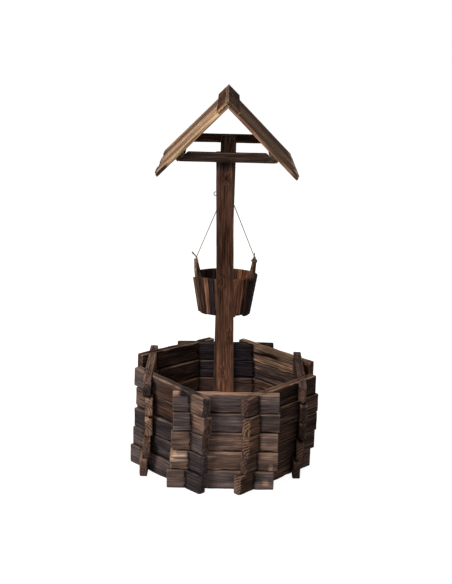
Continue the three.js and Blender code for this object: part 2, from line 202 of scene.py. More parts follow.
@dataclass
class Solid:
    """A closed surface under way: its points, its faces and what is painted on its points."""

    points: np.ndarray
    quads: np.ndarray
    triangles: np.ndarray
    grain: np.ndarray
    tone: np.ndarray
    worn: np.ndarray
    burnt: np.ndarray
    cut: np.ndarray

    def outward(self) -> "Solid":
        """Turns the faces to point out, by the sign of the volume, which is the sum of a . (b x c) / 6.

        Returns:
            The same surface.
        """
        split = [self.quads[:, [0, 1, 2]], self.quads[:, [0, 2, 3]], self.triangles]
        corners = self.points[np.concatenate(split)]
        volume = np.einsum("ij,ij->i", corners[:, 0], np.cross(corners[:, 1], corners[:, 2])).sum() / 6
        if volume < 0:
            self.quads = self.quads[:, ::-1]
            self.triangles = self.triangles[:, ::-1]
        return self


def joined(solids: Sequence[Solid]) -> Solid:
    """Several closed surfaces as one mesh's worth of points and faces.

    Args:
        solids: The surfaces.

    Returns:
        All of them, with each one's faces counted on from the points before it.
    """
    starts = np.cumsum([0] + [len(solid.points) for solid in solids[:-1]])
    stack = {
        field: np.concatenate([getattr(solid, field) for solid in solids])
        for field in ("points", "grain", "tone", "worn", "burnt", "cut")
    }
    for field in ("quads", "triangles"):
        stack[field] = np.concatenate([getattr(solid, field) + start for solid, start in zip(solids, starts)])
    return Solid(**stack)


def linked(name: str, data: bpy.types.ID) -> bpy.types.Object:
    """A new object at the origin, in the scene's collection.

    Args:
        name: Its name.
        data: Its mesh, camera or lamp.

    Returns:
        The object.
    """
    thing = bpy.data.objects.new(name, data)
    bpy.context.scene.collection.objects.link(thing)
    return thing


def put(name: str, solid: Solid, finish: bpy.types.Material, smooth: bool = True) -> bpy.types.Object:
    """Writes a surface into a new object that sits at the origin.

    Args:
        name: Name of the piece.
        solid: The surface, in the well's own place.
        finish: Its material.
        smooth: Whether its faces are shaded smooth.

    Returns:
        The new object.
    """
    mesh = bpy.data.meshes.new(name)
    loops = np.concatenate([solid.quads.ravel(), solid.triangles.ravel()]).astype(np.int32)
    totals = np.concatenate([np.full(len(solid.quads), 4), np.full(len(solid.triangles), 3)])
    mesh.vertices.add(len(solid.points))
    mesh.vertices.foreach_set("co", solid.points.astype(np.float32).ravel())
    mesh.loops.add(len(loops))
    mesh.loops.foreach_set("vertex_index", loops)
    mesh.polygons.add(len(totals))
    mesh.polygons.foreach_set("loop_start", (np.cumsum(totals) - totals).astype(np.int32))
    mesh.update(calc_edges=True)
    mesh.validate()
    for layer, kind, key, values in (
        ("worn", "FLOAT", "value", solid.worn),
        ("burnt", "FLOAT", "value", solid.burnt),
        ("cut", "FLOAT", "value", solid.cut),
        ("grain", "FLOAT_VECTOR", "vector", solid.grain),
        ("tone", "FLOAT_COLOR", "color", np.column_stack([solid.tone, np.ones(len(solid.tone))])),
    ):
        mesh.attributes.new(layer, kind, "POINT").data.foreach_set(key, values.astype(np.float32).ravel())
    if smooth:
        mesh.shade_smooth()
    mesh.materials.append(finish)
    return linked(name, mesh)


def stand_in(
    name: str, solid: Solid, finish: bpy.types.Material, node: str, slot: str, body: str = "well"
) -> bpy.types.Object:
    """Puts a surface in place of a CAD node.

    Args:
        name: Name of the piece.
        solid: The surface.
        finish: Its material.
        node: The CAD node that it replaces.
        slot: The name of a material slot; not used.
        body: The body that it rides on.

    Returns:
        The new object.
    """
    piece = put(name, solid, finish)
    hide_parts(node)
    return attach(piece, body)


@dataclass(frozen=True)
class Stain:
    """A soft-edged patch of another tone, long along the grain, in metres from the timber's own middle and foot."""

    along: float
    across: float
    length: float
    height: float
    tone: Tone
    strength: float = 0.9


@dataclass(frozen=True)
class Look:
    """How one timber is coloured, how its ends are weathered and its arrises lightened, for wear and painted highlight.
    """

    tone: Tone = Tone.UMBER
    worn: float = 0.35
    burn_end: float = 0.0
    split_start: float = 0.0
    split_end: float = 0.0
    tone_start: Tone | None = None
    tone_end: Tone | None = None
    round_start: float = 0.0
    round_end: float = 0.0
    chips_start: int = 0
    chips_end: int = 0
    # A lighter band along the top: partly the wood's own colour, partly a painted highlight.
    crest: Tone | None = None
    crest_depth: float = 7 * MM
    butt: Tone | None = None
    blend: float = 85 * MM
    splinters: float = 0.12
    bevel_start: float = 0.0
    bevel_end: float = 0.0
    stains: tuple[Stain, ...] = ()


class Station(NamedTuple):
    """A cross-section of a timber: x = place + lean_y (y - middle) + lean_z (z - middle), from low to high."""

    place: float
    low: float
    high: float
    lean_y: float = 0.0
    lean_z: float = 0.0


@dataclass
class Timber:
    """A sawn stick along its own X: rounded oblong sections carried through its stations, closed at both ends.

    A section's point is y = (t/2 - r) cy + r ny and z = (h/2 - r) cz + r nz about its middle, where (cy, cz)
    goes round the oblong's inner corners, (ny, nz) is the way out there and r the rubbed-down radius of the arris.
    """

    stations: list[Station]
    thickness: float
    seed: int
    arris: float = 2.4 * MM
    end_ease: float = 2.4 * MM
    step: float = 6 * MM
    wobble: float = 0.5 * MM
    side_steps: int = 8
    edge_steps: int = 4
    corner_steps: int = 3
    look: Look = Look()
    warp: Warp | None = None
    end_marks: tuple[float, ...] = ()
    # Painted shade: how far the tone is darkened on the lower and the upper arrises.
    low_edge_shade: float = 0.0
    high_edge_shade: float = 0.0
    knots: tuple[tuple[float, float], ...] = ()
    crossings: tuple[tuple[float, float], ...] = ()

    ALONG_GRAIN = (0.15, 1, 1)
    END_SHARES = (0.12, 0.4, 1)
    CAP_RINGS = (0.84, 0.6, 0.34, 0.12)
    ARRIS_MEAN = 0.85
    ARRIS_SWING = 0.45
    ARRIS_LIMITS = (0.35, 1.9)
    ARRIS_WAVE = 50 * MM
    FACE_WAVE = 30 * MM
    ROUND_REACH = 3.2
    LEAST_SHARE = 0.3
    SPLIT_STEPS = 2.5
    SPLIT_REACH = 16 * MM
    BUNDLE_WAVE = 30 * MM
    FIBRE_WAVE = 8 * MM
    BEVEL_WAVE = 40 * MM
    CHIP_SIZES = (6, 12)
    CHIP_JAG = 1.2 * MM
    FRESH_SHARE = 0.8
    JAG = 14 * MM
    END_SHADE = 0.62
    # Width and depth of the painted shade where boards cross at the laps.
    SEAM_WIDTH = 4.5 * MM
    SEAM_SHADE = 0.6
    KNOT_WIDTH = 9 * MM
    KNOT_DARK = 0.7

    def oblong(self) -> np.ndarray:
        """The rounded oblong that each section is drawn from.

        Returns:
            A row for each point: cy, cz, ny, nz and 1 at a rounded corner or 0 between them.
        """
        corners = np.array([(1, -1), (1, 1), (-1, 1), (-1, -1)], float)
        rows = []
        for turn in range(4):
            angles = np.radians(90 * turn - 90 + np.linspace(0, 90, self.corner_steps + 1))
            here = np.tile(corners[turn], (len(angles), 1))
            rows.append(np.column_stack([here, np.cos(angles), np.sin(angles), np.ones(len(angles))]))
            count = self.side_steps if turn % 2 == 0 else self.edge_steps
            share = (0.5 - 0.5 * np.cos(math.pi * np.arange(1, count) / count))[:, None]
            between = corners[turn] + share * (corners[(turn + 1) % 4] - corners[turn])
            out = np.radians(90 * turn)
            facing = np.tile([math.cos(out), math.sin(out), 0.0], (count - 1, 1))
            rows.append(np.column_stack([between, facing]))
        return np.concatenate(rows)

    def sections(self) -> np.ndarray:
        """The stations with others evenly between them and three close to each end.

        Returns:
            A row of numbers for each section, in a station's order.
        """
        keys = np.array(self.stations, float)
        spans = np.maximum(np.ceil(np.abs(np.diff(keys[:, 0])) / self.step).astype(int), 1)
        marks = [index + np.arange(count) / count for index, count in enumerate(spans)] + [[len(spans)]]
        close = np.concatenate([np.array(self.END_SHARES) * self.end_ease, self.end_marks])
        first = close / abs(keys[1, 0] - keys[0, 0])
        last = close / abs(keys[-1, 0] - keys[-2, 0])
        places = np.unique(np.concatenate(marks + [first, len(spans) - last]))
        index = np.arange(len(keys))
        return np.column_stack([np.interp(places, index, keys[:, column]) for column in range(5)])

    def worn_sections(self) -> tuple[np.ndarray, np.ndarray]:
        """The sections' points, section after section, with rubbed arrises, rounded ends and wavy faces.

        Returns:
            The points, and how far each lies on an upper arris, 1, or a lower one, -1.
        """
        rows, ring, look = self.sections(), self.oblong(), self.look
        x0, low, high, lean_y, lean_z = np.repeat(rows, len(ring), axis=0).T
        cy, cz, ny, nz, at_corner = np.tile(ring, (len(rows), 1)).T
        corner_key = np.column_stack([x0, self.ARRIS_WAVE * cy, self.ARRIS_WAVE * cz])
        radius = self.ARRIS_MEAN + self.ARRIS_SWING * ripple(corner_key, self.ARRIS_WAVE, self.seed)
        radius = self.arris * np.clip(radius, *self.ARRIS_LIMITS)
        from_start, from_finish = x0 - rows[0, 0], rows[-1, 0] - x0
        inside = np.maximum(self.end_ease - np.minimum(from_start, from_finish), 0)
        inset = self.end_ease - np.sqrt(np.maximum(self.end_ease**2 - inside**2, 0))
        for depth, distance in ((look.round_start, from_start), (look.round_end, from_finish)):
            if depth > 0:
                inset += depth * (1 - ease(distance, 0, self.ROUND_REACH * depth)) ** 1.5
        half_y, half_z, level = self.thickness / 2, (high - low) / 2, (high + low) / 2
        y = (half_y - radius) * cy + radius * ny
        z = (half_z - radius) * cz + radius * nz
        face = np.column_stack([0.25 * x0, y, z + level])
        wave = self.wobble * (0.5 + 0.5 * ripple(face, self.FACE_WAVE, self.seed + 1))
        y = y * np.maximum(1 - inset / half_y, self.LEAST_SHARE) - wave * ny
        z = z * np.maximum(1 - inset / half_z, self.LEAST_SHARE) - wave * nz
        return np.column_stack([x0 + lean_y * y + lean_z * z, y, z + level]), at_corner * cz

    def solid(self, place: Place) -> Solid:
        """The timber in its place, with its grain, tone, wear and burns painted on.

        Args:
            place: Where its own axes lie in the well.

        Returns:
            The closed surface.
        """
        sides, edges = self.worn_sections()
        points, quads, triangles = self.closed(sides, len(self.oblong()))
        end_face = np.arange(len(points)) >= len(sides)
        edges = np.concatenate([edges, np.zeros(len(points) - len(sides))])
        grain, tone, worn, burnt = self.paint(points, end_face, edges)
        split = self.broken_ends(points)
        bevelled, bared = self.bevelled(split)
        grain = grain + (bevelled - split) * [0, 1, 1]
        tone = blended(tone, self.look.butt or self.look.tone, bared)
        points, fresh = self.chipped(bevelled)
        tone = blended(tone, Tone.FAWN, self.FRESH_SHARE * fresh)
        if self.warp is not None:
            points = self.warp(points)
        cut = self.look.splinters * np.maximum(end_face, bared)
        return Solid(place.carry(points), quads, triangles, grain, tone, worn * (1 - bared), burnt, cut).outward()

    def closed(self, points: np.ndarray, around: int) -> tuple[np.ndarray, np.ndarray, np.ndarray]:
        """Adds the two ends: smaller copies of the end section round its middle, and a point in the middle.

        Args:
            points: The sections' points, section after section.
            around: How many points each has.

        Returns:
            The points with the ends', the four-sided faces and the three-sided ones.
        """
        total = len(points)
        here = np.arange(around)
        after = (here + 1) % around
        row = np.arange(0, total - around, around)[:, None]
        quads = [np.stack([row + here, row + around + here, row + around + after, row + after], axis=-1).reshape(-1, 4)]
        triangles, extra = [], []
        for start, flip in ((0, False), (total - around, True)):
            edge = points[start : start + around]
            middle = edge.mean(axis=0)
            outer = start + here
            for share in self.CAP_RINGS:
                extra.append(middle + share * (edge - middle))
                inner = total + here
                faces = np.stack([outer, outer[after], inner[after], inner], axis=-1)
                quads.append(faces[:, ::-1] if flip else faces)
                outer = inner
                total += around
            extra.append(middle[None])
            fan = np.stack([outer, outer[after], np.full(around, total)], axis=-1)
            triangles.append(fan[:, ::-1] if flip else fan)
            total += 1
        return np.concatenate([points, *extra]), np.concatenate(quads), np.concatenate(triangles)

    def broken_ends(self, points: np.ndarray) -> np.ndarray:
        """Pushes the ends back in steps that stay level along each bundle of fibres and die out along the timber.

        Args:
            points: The points on the timber's own axes.

        Returns:
            The moved points.
        """
        moved = points.copy()
        fibres = points * [0, 1, 1]
        steps = np.round(self.SPLIT_STEPS * ripple(fibres, self.BUNDLE_WAVE, self.seed + 3)) / self.SPLIT_STEPS
        share = np.clip(0.5 + 0.5 * steps + 0.35 * ripple(fibres, self.FIBRE_WAVE, self.seed + 4), 0, 1.4)
        first, last = self.stations[0].place, self.stations[-1].place
        for end, sign, depth in ((first, 1, self.look.split_start), (last, -1, self.look.split_end)):
            distance = sign * (points[:, 0] - end)
            moved[:, 0] += sign * (0.3 * MM + share * depth) * (1 - ease(distance, 0, self.SPLIT_REACH))
        return moved

    def bevelled(self, points: np.ndarray) -> tuple[np.ndarray, np.ndarray]:
        """Cuts the outer corner of each end off at 45 degrees, by the look's bevels.

        Args:
            points: The points on the timber's own axes.

        Returns:
            The moved points, and how far into a bevel each lies, from 0 to 1.
        """
        bared = np.zeros(len(points))
        look = self.look
        uneven = 1 + 0.25 * ripple(points * Z_AXIS, self.BEVEL_WAVE, self.seed + 13)
        for end, sign, size in ((self.stations[0], -1, look.bevel_start), (self.stations[-1], 1, look.bevel_end)):
            if size > 0:
                normal = np.array([sign, -1.0, 0.0]) / math.sqrt(2)
                depth = (points - [end.place, -self.thickness / 2, 0.0]) @ normal + size * uneven
                over = np.maximum(depth, 0)
                points = points - over[:, None] * normal
                bared = np.maximum(bared, ease(over, 0.1 * MM, 0.9 * MM))
        return points, bared

    def chipped(self, points: np.ndarray) -> tuple[np.ndarray, np.ndarray]:
        """Breaks corners off the ends: a point p past a plane goes back to it, p - max((p - c) . n + size, 0) n.

        Args:
            points: The points on the timber's own axes.

        Returns:
            The moved points, and how freshly bared each is, from 0 to 1.
        """
        draw = np.random.default_rng(self.seed + 11)
        fresh = np.zeros(len(points))
        look = self.look
        for end, sign, count in ((self.stations[0], -1, look.chips_start), (self.stations[-1], 1, look.chips_end)):
            for _ in range(count):
                side_y, side_z = draw.choice([-1, -1, 1]), draw.choice([-1, 1])
                corner = [end.place, side_y * self.thickness / 2, end.high if side_z > 0 else end.low]
                normal = unit(draw.uniform([0.25, 0.3, 0.2], [0.6, 1.0, 1.0]) * [sign, side_y, side_z])
                jag = self.CHIP_JAG * ripple(points * [0.2, 1, 1], 7 * MM, self.seed + 12)
                over = np.maximum((points - corner) @ normal + draw.uniform(*self.CHIP_SIZES) * MM + jag, 0)
                points = points - over[:, None] * normal
                fresh = np.maximum(fresh, ease(over, 0.1 * MM, 0.7 * MM))
        return points, fresh

    def paint(self, points: np.ndarray, end_face: np.ndarray, edges: np.ndarray) -> tuple[np.ndarray, ...]:
        """What the wood's finish reads at each point.

        Args:
            points: The points on the timber's own axes.
            end_face: Whether each lies on an end face.
            edges: 1 at a rounded upper arris, -1 at a lower one, 0 elsewhere.

        Returns:
            The grain's place in the log, the tone, the lightening for wear and painted highlight, and the burn at each
            point.
        """
        look = self.look
        draw = np.random.default_rng(self.seed)
        grain = points + [draw.uniform(-3, 3), draw.uniform(0.02, 0.06), draw.uniform(-0.03, 0.03)]
        first, last = self.stations[0], self.stations[-1]
        from_start, from_finish = points[:, 0] - first.place, last.place - points[:, 0]
        stretched = points * self.ALONG_GRAIN
        jag = self.JAG * ripple(stretched, 0.03, self.seed + 7)
        tone = np.tile(look.tone.linear(), (len(points), 1))
        for end_tone, distance in ((look.tone_start, from_start), (look.tone_end, from_finish)):
            if end_tone is not None:
                tone = blended(tone, end_tone, 1 - ease(distance + jag, 0.25 * look.blend, look.blend))
        # A lighter band along the top, partly the wood's own colour and partly a painted highlight where the top
        # catches the light.
        if look.crest is not None:
            depth = look.crest_depth * (1 + 0.4 * ripple(points * [0.3, 0, 0], 0.05, self.seed + 8))
            tone = blended(tone, look.crest, 1 - ease(max(first.high, last.high) - points[:, 2], 0.5 * depth, depth))
        tone *= (1 + 0.2 * ripple(stretched, 0.05, self.seed + 5))[:, None]
        tone[end_face] *= self.END_SHADE
        if look.butt is not None:
            tone[end_face] = look.butt.linear() * (1 + 0.25 * ripple(points[end_face], 0.012, self.seed + 2))[:, None]
        bare = np.ones(len(points))
        for patch in look.stains:
            away = np.hypot((points[:, 0] - patch.along) / patch.length, (points[:, 2] - patch.across) / patch.height)
            away *= 1 + 0.25 * ripple(stretched, 0.02, self.seed + 9)
            mix = patch.strength * (1 - ease(away, 0.45, 1.05))
            tone = blended(tone, patch.tone, mix)
            bare *= 1 - mix
        # Painted shade: the tone darkens in a narrow band where each board crosses another at a lap.
        for crossing, lean in self.crossings:
            away = points[:, 0] - crossing - lean * points[:, 1]
            tone *= (1 - self.SEAM_SHADE * np.exp(-((away / self.SEAM_WIDTH) ** 2)))[:, None]
        near_end = np.minimum(from_start, from_finish)
        # Painted shade on the arrises: the lower and the upper ones are darkened by the timber's two shares, for the
        # shade in seams, gaps and under pieces.
        edge_shade = np.where(edges > 0, self.high_edge_shade, np.where(edges < 0, self.low_edge_shade, 0.0))
        # Arrises and ends are lightened, for wear and as a painted highlight where the edges catch the light; shaded
        # arrises keep less of it.
        worn = look.worn * (np.abs(edges) + 0.3 * (1 - ease(near_end, 0, 5 * MM))) * (1 - edge_shade) * bare
        worn = np.clip(worn * (1 + 0.5 * ripple(points * [0.4, 1, 1], 0.02, self.seed + 6)), 0, 1)
        worn[end_face] *= 0.6
        tone *= (1 - edge_shade)[:, None]
        for along, across in self.knots:
            away = np.hypot(0.55 * (points[:, 0] - along), points[:, 2] - across)
            grain[:, 1] += self.KNOT_WIDTH * np.exp(-((away / self.KNOT_WIDTH) ** 2))
            tone *= (1 - self.KNOT_DARK * (1 - ease(away, 1.5 * MM, 5 * MM)))[:, None]
        burnt = np.zeros(len(points))
        if look.burn_end > 0:
            burnt = 1 - ease(from_finish + jag, 0.3 * look.burn_end, look.burn_end)
        return grain, tone, worn, burnt


class Nodes:
    """A material's or a world's node tree, built up a node at a time."""

    def __init__(self, owner: bpy.types.Material | bpy.types.World, output: str = "OutputMaterial") -> None:
        """Starts an empty tree with an output.

        Args:
            owner: The new material or world.
            output: Type of the output node.
        """
        self.owner = owner
        self.owner.use_nodes = True
        self.tree = owner.node_tree
        self.tree.nodes.clear()
        self.output = self.add(output)

    def add(self, kind: str, inputs: dict[str | int, object] | None = None, **settings: object) -> bpy.types.Node:
        """A new node.

        Args:
            kind: Its type, without the leading ShaderNode.
            inputs: Values or sockets for its inputs, by name or number.
            **settings: Its own properties.

        Returns:
            The node.
        """
        node = self.tree.nodes.new(f"ShaderNode{kind}")
        for key, value in settings.items():
            setattr(node, key, value)
        for key, value in (inputs or {}).items():
            socket = node.inputs[key]
            if isinstance(value, bpy.types.NodeSocket):
                self.tree.links.new(value, socket)
            else:
                socket.default_value = value
        return node

    def math(self, operation: str, *values: object, clamp: bool = False) -> bpy.types.NodeSocket:
        """The result of a Math node."""
        return self.add("Math", dict(enumerate(values)), operation=operation, use_clamp=clamp).outputs[0]

    def noise(self, place: bpy.types.NodeSocket, stretch: Vec, scale: float, detail: float) -> bpy.types.NodeSocket:
        """Smooth noise about 0.5, drawn out by a scaling of its place."""
        drawn_out = self.add("Mapping", {"Vector": place, "Scale": stretch}).outputs[0]
        return self.add("TexNoise", {"Vector": drawn_out, "Scale": scale, "Detail": detail}).outputs["Fac"]

    def weighed(self, parts: Sequence[tuple[bpy.types.NodeSocket, float]]) -> bpy.types.NodeSocket:
        """The sum of weight (value - 0.5) over the parts.

        Args:
            parts: Each value and its weight.

        Returns:
            The socket that gives the sum.
        """
        total: object = -0.5 * sum(weight for _, weight in parts)
        for value, weight in parts:
            total = self.math("MULTIPLY_ADD", value, weight, total)
        return total

    def attribute(self, name: str, output: str) -> bpy.types.NodeSocket:
        """One of the piece's own attributes."""
        return self.add("Attribute", attribute_name=name).outputs[output]

    def mix(self, share: object, first: object, second: object, blend: str = "MIX") -> bpy.types.NodeSocket:
        """The colour that a Mix node gives."""
        inputs = {0: share, 6: first, 7: second}
        return self.add("Mix", inputs, data_type="RGBA", blend_type=blend).outputs[2]

    def surface(self, shader: bpy.types.Node) -> bpy.types.Material | bpy.types.World:
        """Joins the shader to the output and gives the finished material or world."""
        self.tree.links.new(shader.outputs[0], self.output.inputs["Surface"])
        return self.owner


def rgba(tone: Tone, share: float = 1.0) -> tuple[float, float, float, float]:
    """A tone's linear colour, brightened or darkened, with full alpha."""
    red, green, blue = tone.linear() * share
    return (float(red), float(green), float(blue), 1.0)


@dataclass(frozen=True)
class WoodFinish:
    """Sawn softwood, scorched and brushed: the tone times contrast^figure, with black burns and with arrises lightened
    for wear and as a painted highlight.

    The figure adds rings about the log's heart, fine fibres, streaks and cloudy patches, each drawn out along
    the grain. Red takes a greater contrast than blue, so that light streaks are warm and dark ones cold.
    """

    name: str
    contrast: float = 7.5
    ring: float = 5 * MM
    rings: float = 0.3
    fibres: float = 1.6
    streaks: float = 1.9
    clouds: float = 1.25
    wear_and_highlight_tone: Tone = Tone.STRAW
    cut_tone: Tone = Tone.FAWN
    burnt_tone: Tone = Tone.SOOT
    fibre_scale: float = 560.0
    streak_scale: float = 320.0
    powers: Vec = (1.08, 1.0, 0.9)
    roughness: float = 0.74
    bump: float = 0.7
    tone: Tone | None = None
    low_tone: Tone | None = None
    low_height: float = 0.0
    axis: Vec = (0.0, 0.0, 0.0)

    LOG_PLACE = (0.4, 0.03, 0.02)
    TONE_STEP = 7 * MM
    RING_STRETCH = (0.09, 1.0, 1.0)
    RING_SHAPE = {"Distortion": 5.5, "Detail": 2.5, "Detail Scale": 0.32}
    FIBRE_STRETCH = (0.035, 1.0, 1.0)
    STREAK_STRETCH = (0.05, 1.0, 1.0)
    CLOUD_STRETCH = (0.14, 1.0, 1.0)
    CLOUD_SCALE = 36.0
    LATE_WOOD = (0.55, 0.9)
    ROUGHNESS_SWING = 0.1
    RELIEF = 0.9 * MM
    SPECULAR = 0.03

    def own_tone(self, nodes: Nodes) -> object:
        """The tone of a piece without painted points, which may change at a height.

        Args:
            nodes: The material's nodes.

        Returns:
            A colour or a socket.
        """
        if self.low_tone is None:
            return rgba(self.tone)
        height = nodes.add("SeparateXYZ", {0: nodes.add("TexCoord").outputs["Object"]}).outputs[2]
        near = {0: height, 1: self.low_height - self.TONE_STEP, 2: self.low_height + self.TONE_STEP}
        return nodes.mix(nodes.add("MapRange", near).outputs[0], rgba(self.low_tone), rgba(self.tone))

    def grain(self, nodes: Nodes) -> bpy.types.NodeSocket:
        """Where a point lies in its log, in metres, with X along the grain.

        Args:
            nodes: The material's nodes.

        Returns:
            The socket that gives it.
        """
        if self.tone is None:
            return nodes.attribute("grain", "Vector")
        place = nodes.add("TexCoord").outputs["Object"]
        return nodes.add("Mapping", {"Vector": place, "Rotation": self.axis, "Location": self.LOG_PLACE}).outputs[0]

    def material(self) -> bpy.types.Material:
        """The finish as a material.

        Returns:
            A material that reads the piece's grain, tone, wear and highlight, cut and burnt attributes, or takes its
            own tone.
        """
        nodes = Nodes(bpy.data.materials.new(self.name))
        grain = self.grain(nodes)
        drawn_out = nodes.add("Mapping", {"Vector": grain, "Scale": self.RING_STRETCH}).outputs[0]
        wave = {"Vector": drawn_out, "Scale": 2 * math.pi / (20 * self.ring), **self.RING_SHAPE}
        kinds = {"wave_type": "RINGS", "rings_direction": "X", "wave_profile": "SAW"}
        rings = nodes.add("TexWave", wave, **kinds).outputs["Fac"]
        fibres = nodes.noise(grain, self.FIBRE_STRETCH, self.fibre_scale, 2.0)
        streaks = nodes.noise(grain, self.STREAK_STRETCH, self.streak_scale, 3.0)
        clouds = nodes.noise(grain, self.CLOUD_STRETCH, self.CLOUD_SCALE, 2.5)
        fine = nodes.weighed([(rings, self.rings), (fibres, self.fibres), (streaks, self.streaks)])
        figure = nodes.math("ADD", fine, nodes.weighed([(clouds, self.clouds)]))
        levels = {index: nodes.math("POWER", self.contrast**power, figure) for index, power in enumerate(self.powers)}
        tone = nodes.attribute("tone", "Color") if self.tone is None else self.own_tone(nodes)
        levels = nodes.add("CombineColor", levels).outputs[0]
        colour = nodes.mix(1.0, tone, levels, "MULTIPLY")
        if self.tone is None:
            # Lightened arrises and ends, for wear and as a painted highlight.
            patchy = nodes.math("MULTIPLY_ADD", figure, 0.9, 0.85)
            worn = nodes.math("MULTIPLY", nodes.attribute("worn", "Fac"), patchy, clamp=True)
            colour = nodes.mix(worn, colour, rgba(self.wear_and_highlight_tone))
            pale, dark = self.LATE_WOOD
            arcs = nodes.add("MapRange", {0: rings, 1: pale, 2: dark}).outputs[0]
            cut = nodes.math("MULTIPLY", nodes.attribute("cut", "Fac"), arcs, clamp=True)
            colour = nodes.mix(cut, colour, rgba(self.cut_tone))
            ragged = nodes.math("MULTIPLY_ADD", figure, -0.8, 0.9)
            charred = nodes.math("MULTIPLY", nodes.attribute("burnt", "Fac"), ragged, clamp=True)
            colour = nodes.mix(charred, colour, nodes.mix(1.0, rgba(self.burnt_tone), levels, "MULTIPLY"))
        relief = nodes.add("Bump", {"Strength": self.bump, "Distance": self.RELIEF, "Height": fine}).outputs[0]
        dull, sleek = self.roughness + self.ROUGHNESS_SWING, self.roughness - self.ROUGHNESS_SWING
        rough = nodes.add("MapRange", {0: figure, 1: -0.4, 2: 0.4, 3: dull, 4: sleek}).outputs[0]
        inputs = {"Base Color": colour, "Roughness": rough, "Normal": relief, "Specular IOR Level": self.SPECULAR}
        return nodes.surface(nodes.add("BsdfPrincipled", inputs))


@dataclass(frozen=True)
class TwineFinish:
    """Three-ply jute: warm grey fibres, in the tone that each strand is painted."""

    name: str = "jute_twine"
    roughness: float = 0.92

    def material(self) -> bpy.types.Material:
        """The finish as a material.

        Returns:
            The material.
        """
        nodes = Nodes(bpy.data.materials.new(self.name))
        place = nodes.add("TexCoord").outputs["Object"]
        fuzz = nodes.add("TexNoise", {"Vector": place, "Scale": 900.0, "Detail": 3.0}).outputs["Fac"]
        patches = nodes.add("TexNoise", {"Vector": place, "Scale": 60.0, "Detail": 2.0}).outputs["Fac"]
        share = nodes.math("MULTIPLY", nodes.math("ADD", fuzz, patches), 0.55, True)
        level = nodes.add("MapRange", {0: share, 3: 0.55, 4: 1.2}).outputs[0]
        colour = nodes.mix(1.0, nodes.attribute("tone", "Color"), level, "MULTIPLY")
        relief = nodes.add("Bump", {"Strength": 0.5, "Distance": 0.3 * MM, "Height": fuzz}).outputs[0]
        shader = nodes.add("BsdfPrincipled", {"Base Color": colour, "Roughness": self.roughness, "Normal": relief})
        return nodes.surface(shader)


@dataclass(frozen=True)
class SteelFinish:
    """Dull galvanised wire and nail steel."""

    name: str
    tone: Tone = Tone.STEEL
    roughness: float = 0.42
    metallic: float = 0.9

    def material(self) -> bpy.types.Material:
        """The finish as a material.

        Returns:
            The material.
        """
        nodes = Nodes(bpy.data.materials.new(self.name))
        place = nodes.add("TexCoord").outputs["Object"]
        patches = nodes.add("TexNoise", {"Vector": place, "Scale": 220.0, "Detail": 4.0}).outputs["Fac"]
        colour = nodes.mix(patches, rgba(self.tone, 0.55), rgba(self.tone, 1.15))
        rough = nodes.add("MapRange", {0: patches, 3: self.roughness - 0.1, 4: self.roughness + 0.2}).outputs[0]
        shader = nodes.add("BsdfPrincipled", {"Base Color": colour, "Roughness": rough, "Metallic": self.metallic})
        return nodes.surface(shader)


WARM = (0.96, 1.0, 1.04)
BURNT_BOARD = WoodFinish("burnt_board", ring=8 * MM)
BRUSHED_BOARD = WoodFinish(
    "brushed_board", 3.9, 8 * MM, fibres=2.0, streaks=1.2, clouds=1.5, fibre_scale=700.0, streak_scale=430.0
)
ROOF_WOOD = WoodFinish("roof_wood", 6.5, 6 * MM, wear_and_highlight_tone=Tone.SAND, powers=WARM)
POST_WOOD = WoodFinish("post_wood", 5.2, 6 * MM, wear_and_highlight_tone=Tone.HUSK, powers=WARM)
STAVE_WOOD = WoodFinish("stave_wood", 7.5, 4 * MM, wear_and_highlight_tone=Tone.AMBER, powers=WARM)
UPRIGHT = (0.0, math.pi / 2, 0.0)
LEFT_EAR_WOOD = WoodFinish("left_ear_wood", tone=Tone.HUSK, axis=UPRIGHT)
RIGHT_EAR_WOOD = WoodFinish("right_ear_wood", tone=Tone.UMBER, low_tone=Tone.PITCH, low_height=584 * MM, axis=UPRIGHT)
FLOOR_WOOD = WoodFinish("bucket_floor_wood", tone=Tone.BARK)


class Side(Enum):
    """The eight sides of the wall, by eighths of a turn from the front."""

    FRONT = 0
    FRONT_RIGHT = 1
    RIGHT = 2
    REAR_RIGHT = 3
    REAR = 4
    REAR_LEFT = 5
    LEFT = 6
    FRONT_LEFT = 7


def vertices(node: str, frame: dict) -> np.ndarray:
    """The corners of a CAD node.

    Args:
        node: Its name.
        frame: The loaded frame.

    Returns:
        One corner a row.
    """
    mesh = frame["nodes"][node].data
    flat = np.empty(3 * len(mesh.vertices), np.float32)
    mesh.vertices.foreach_get("co", flat)
    return flat.reshape(-1, 3).astype(float)


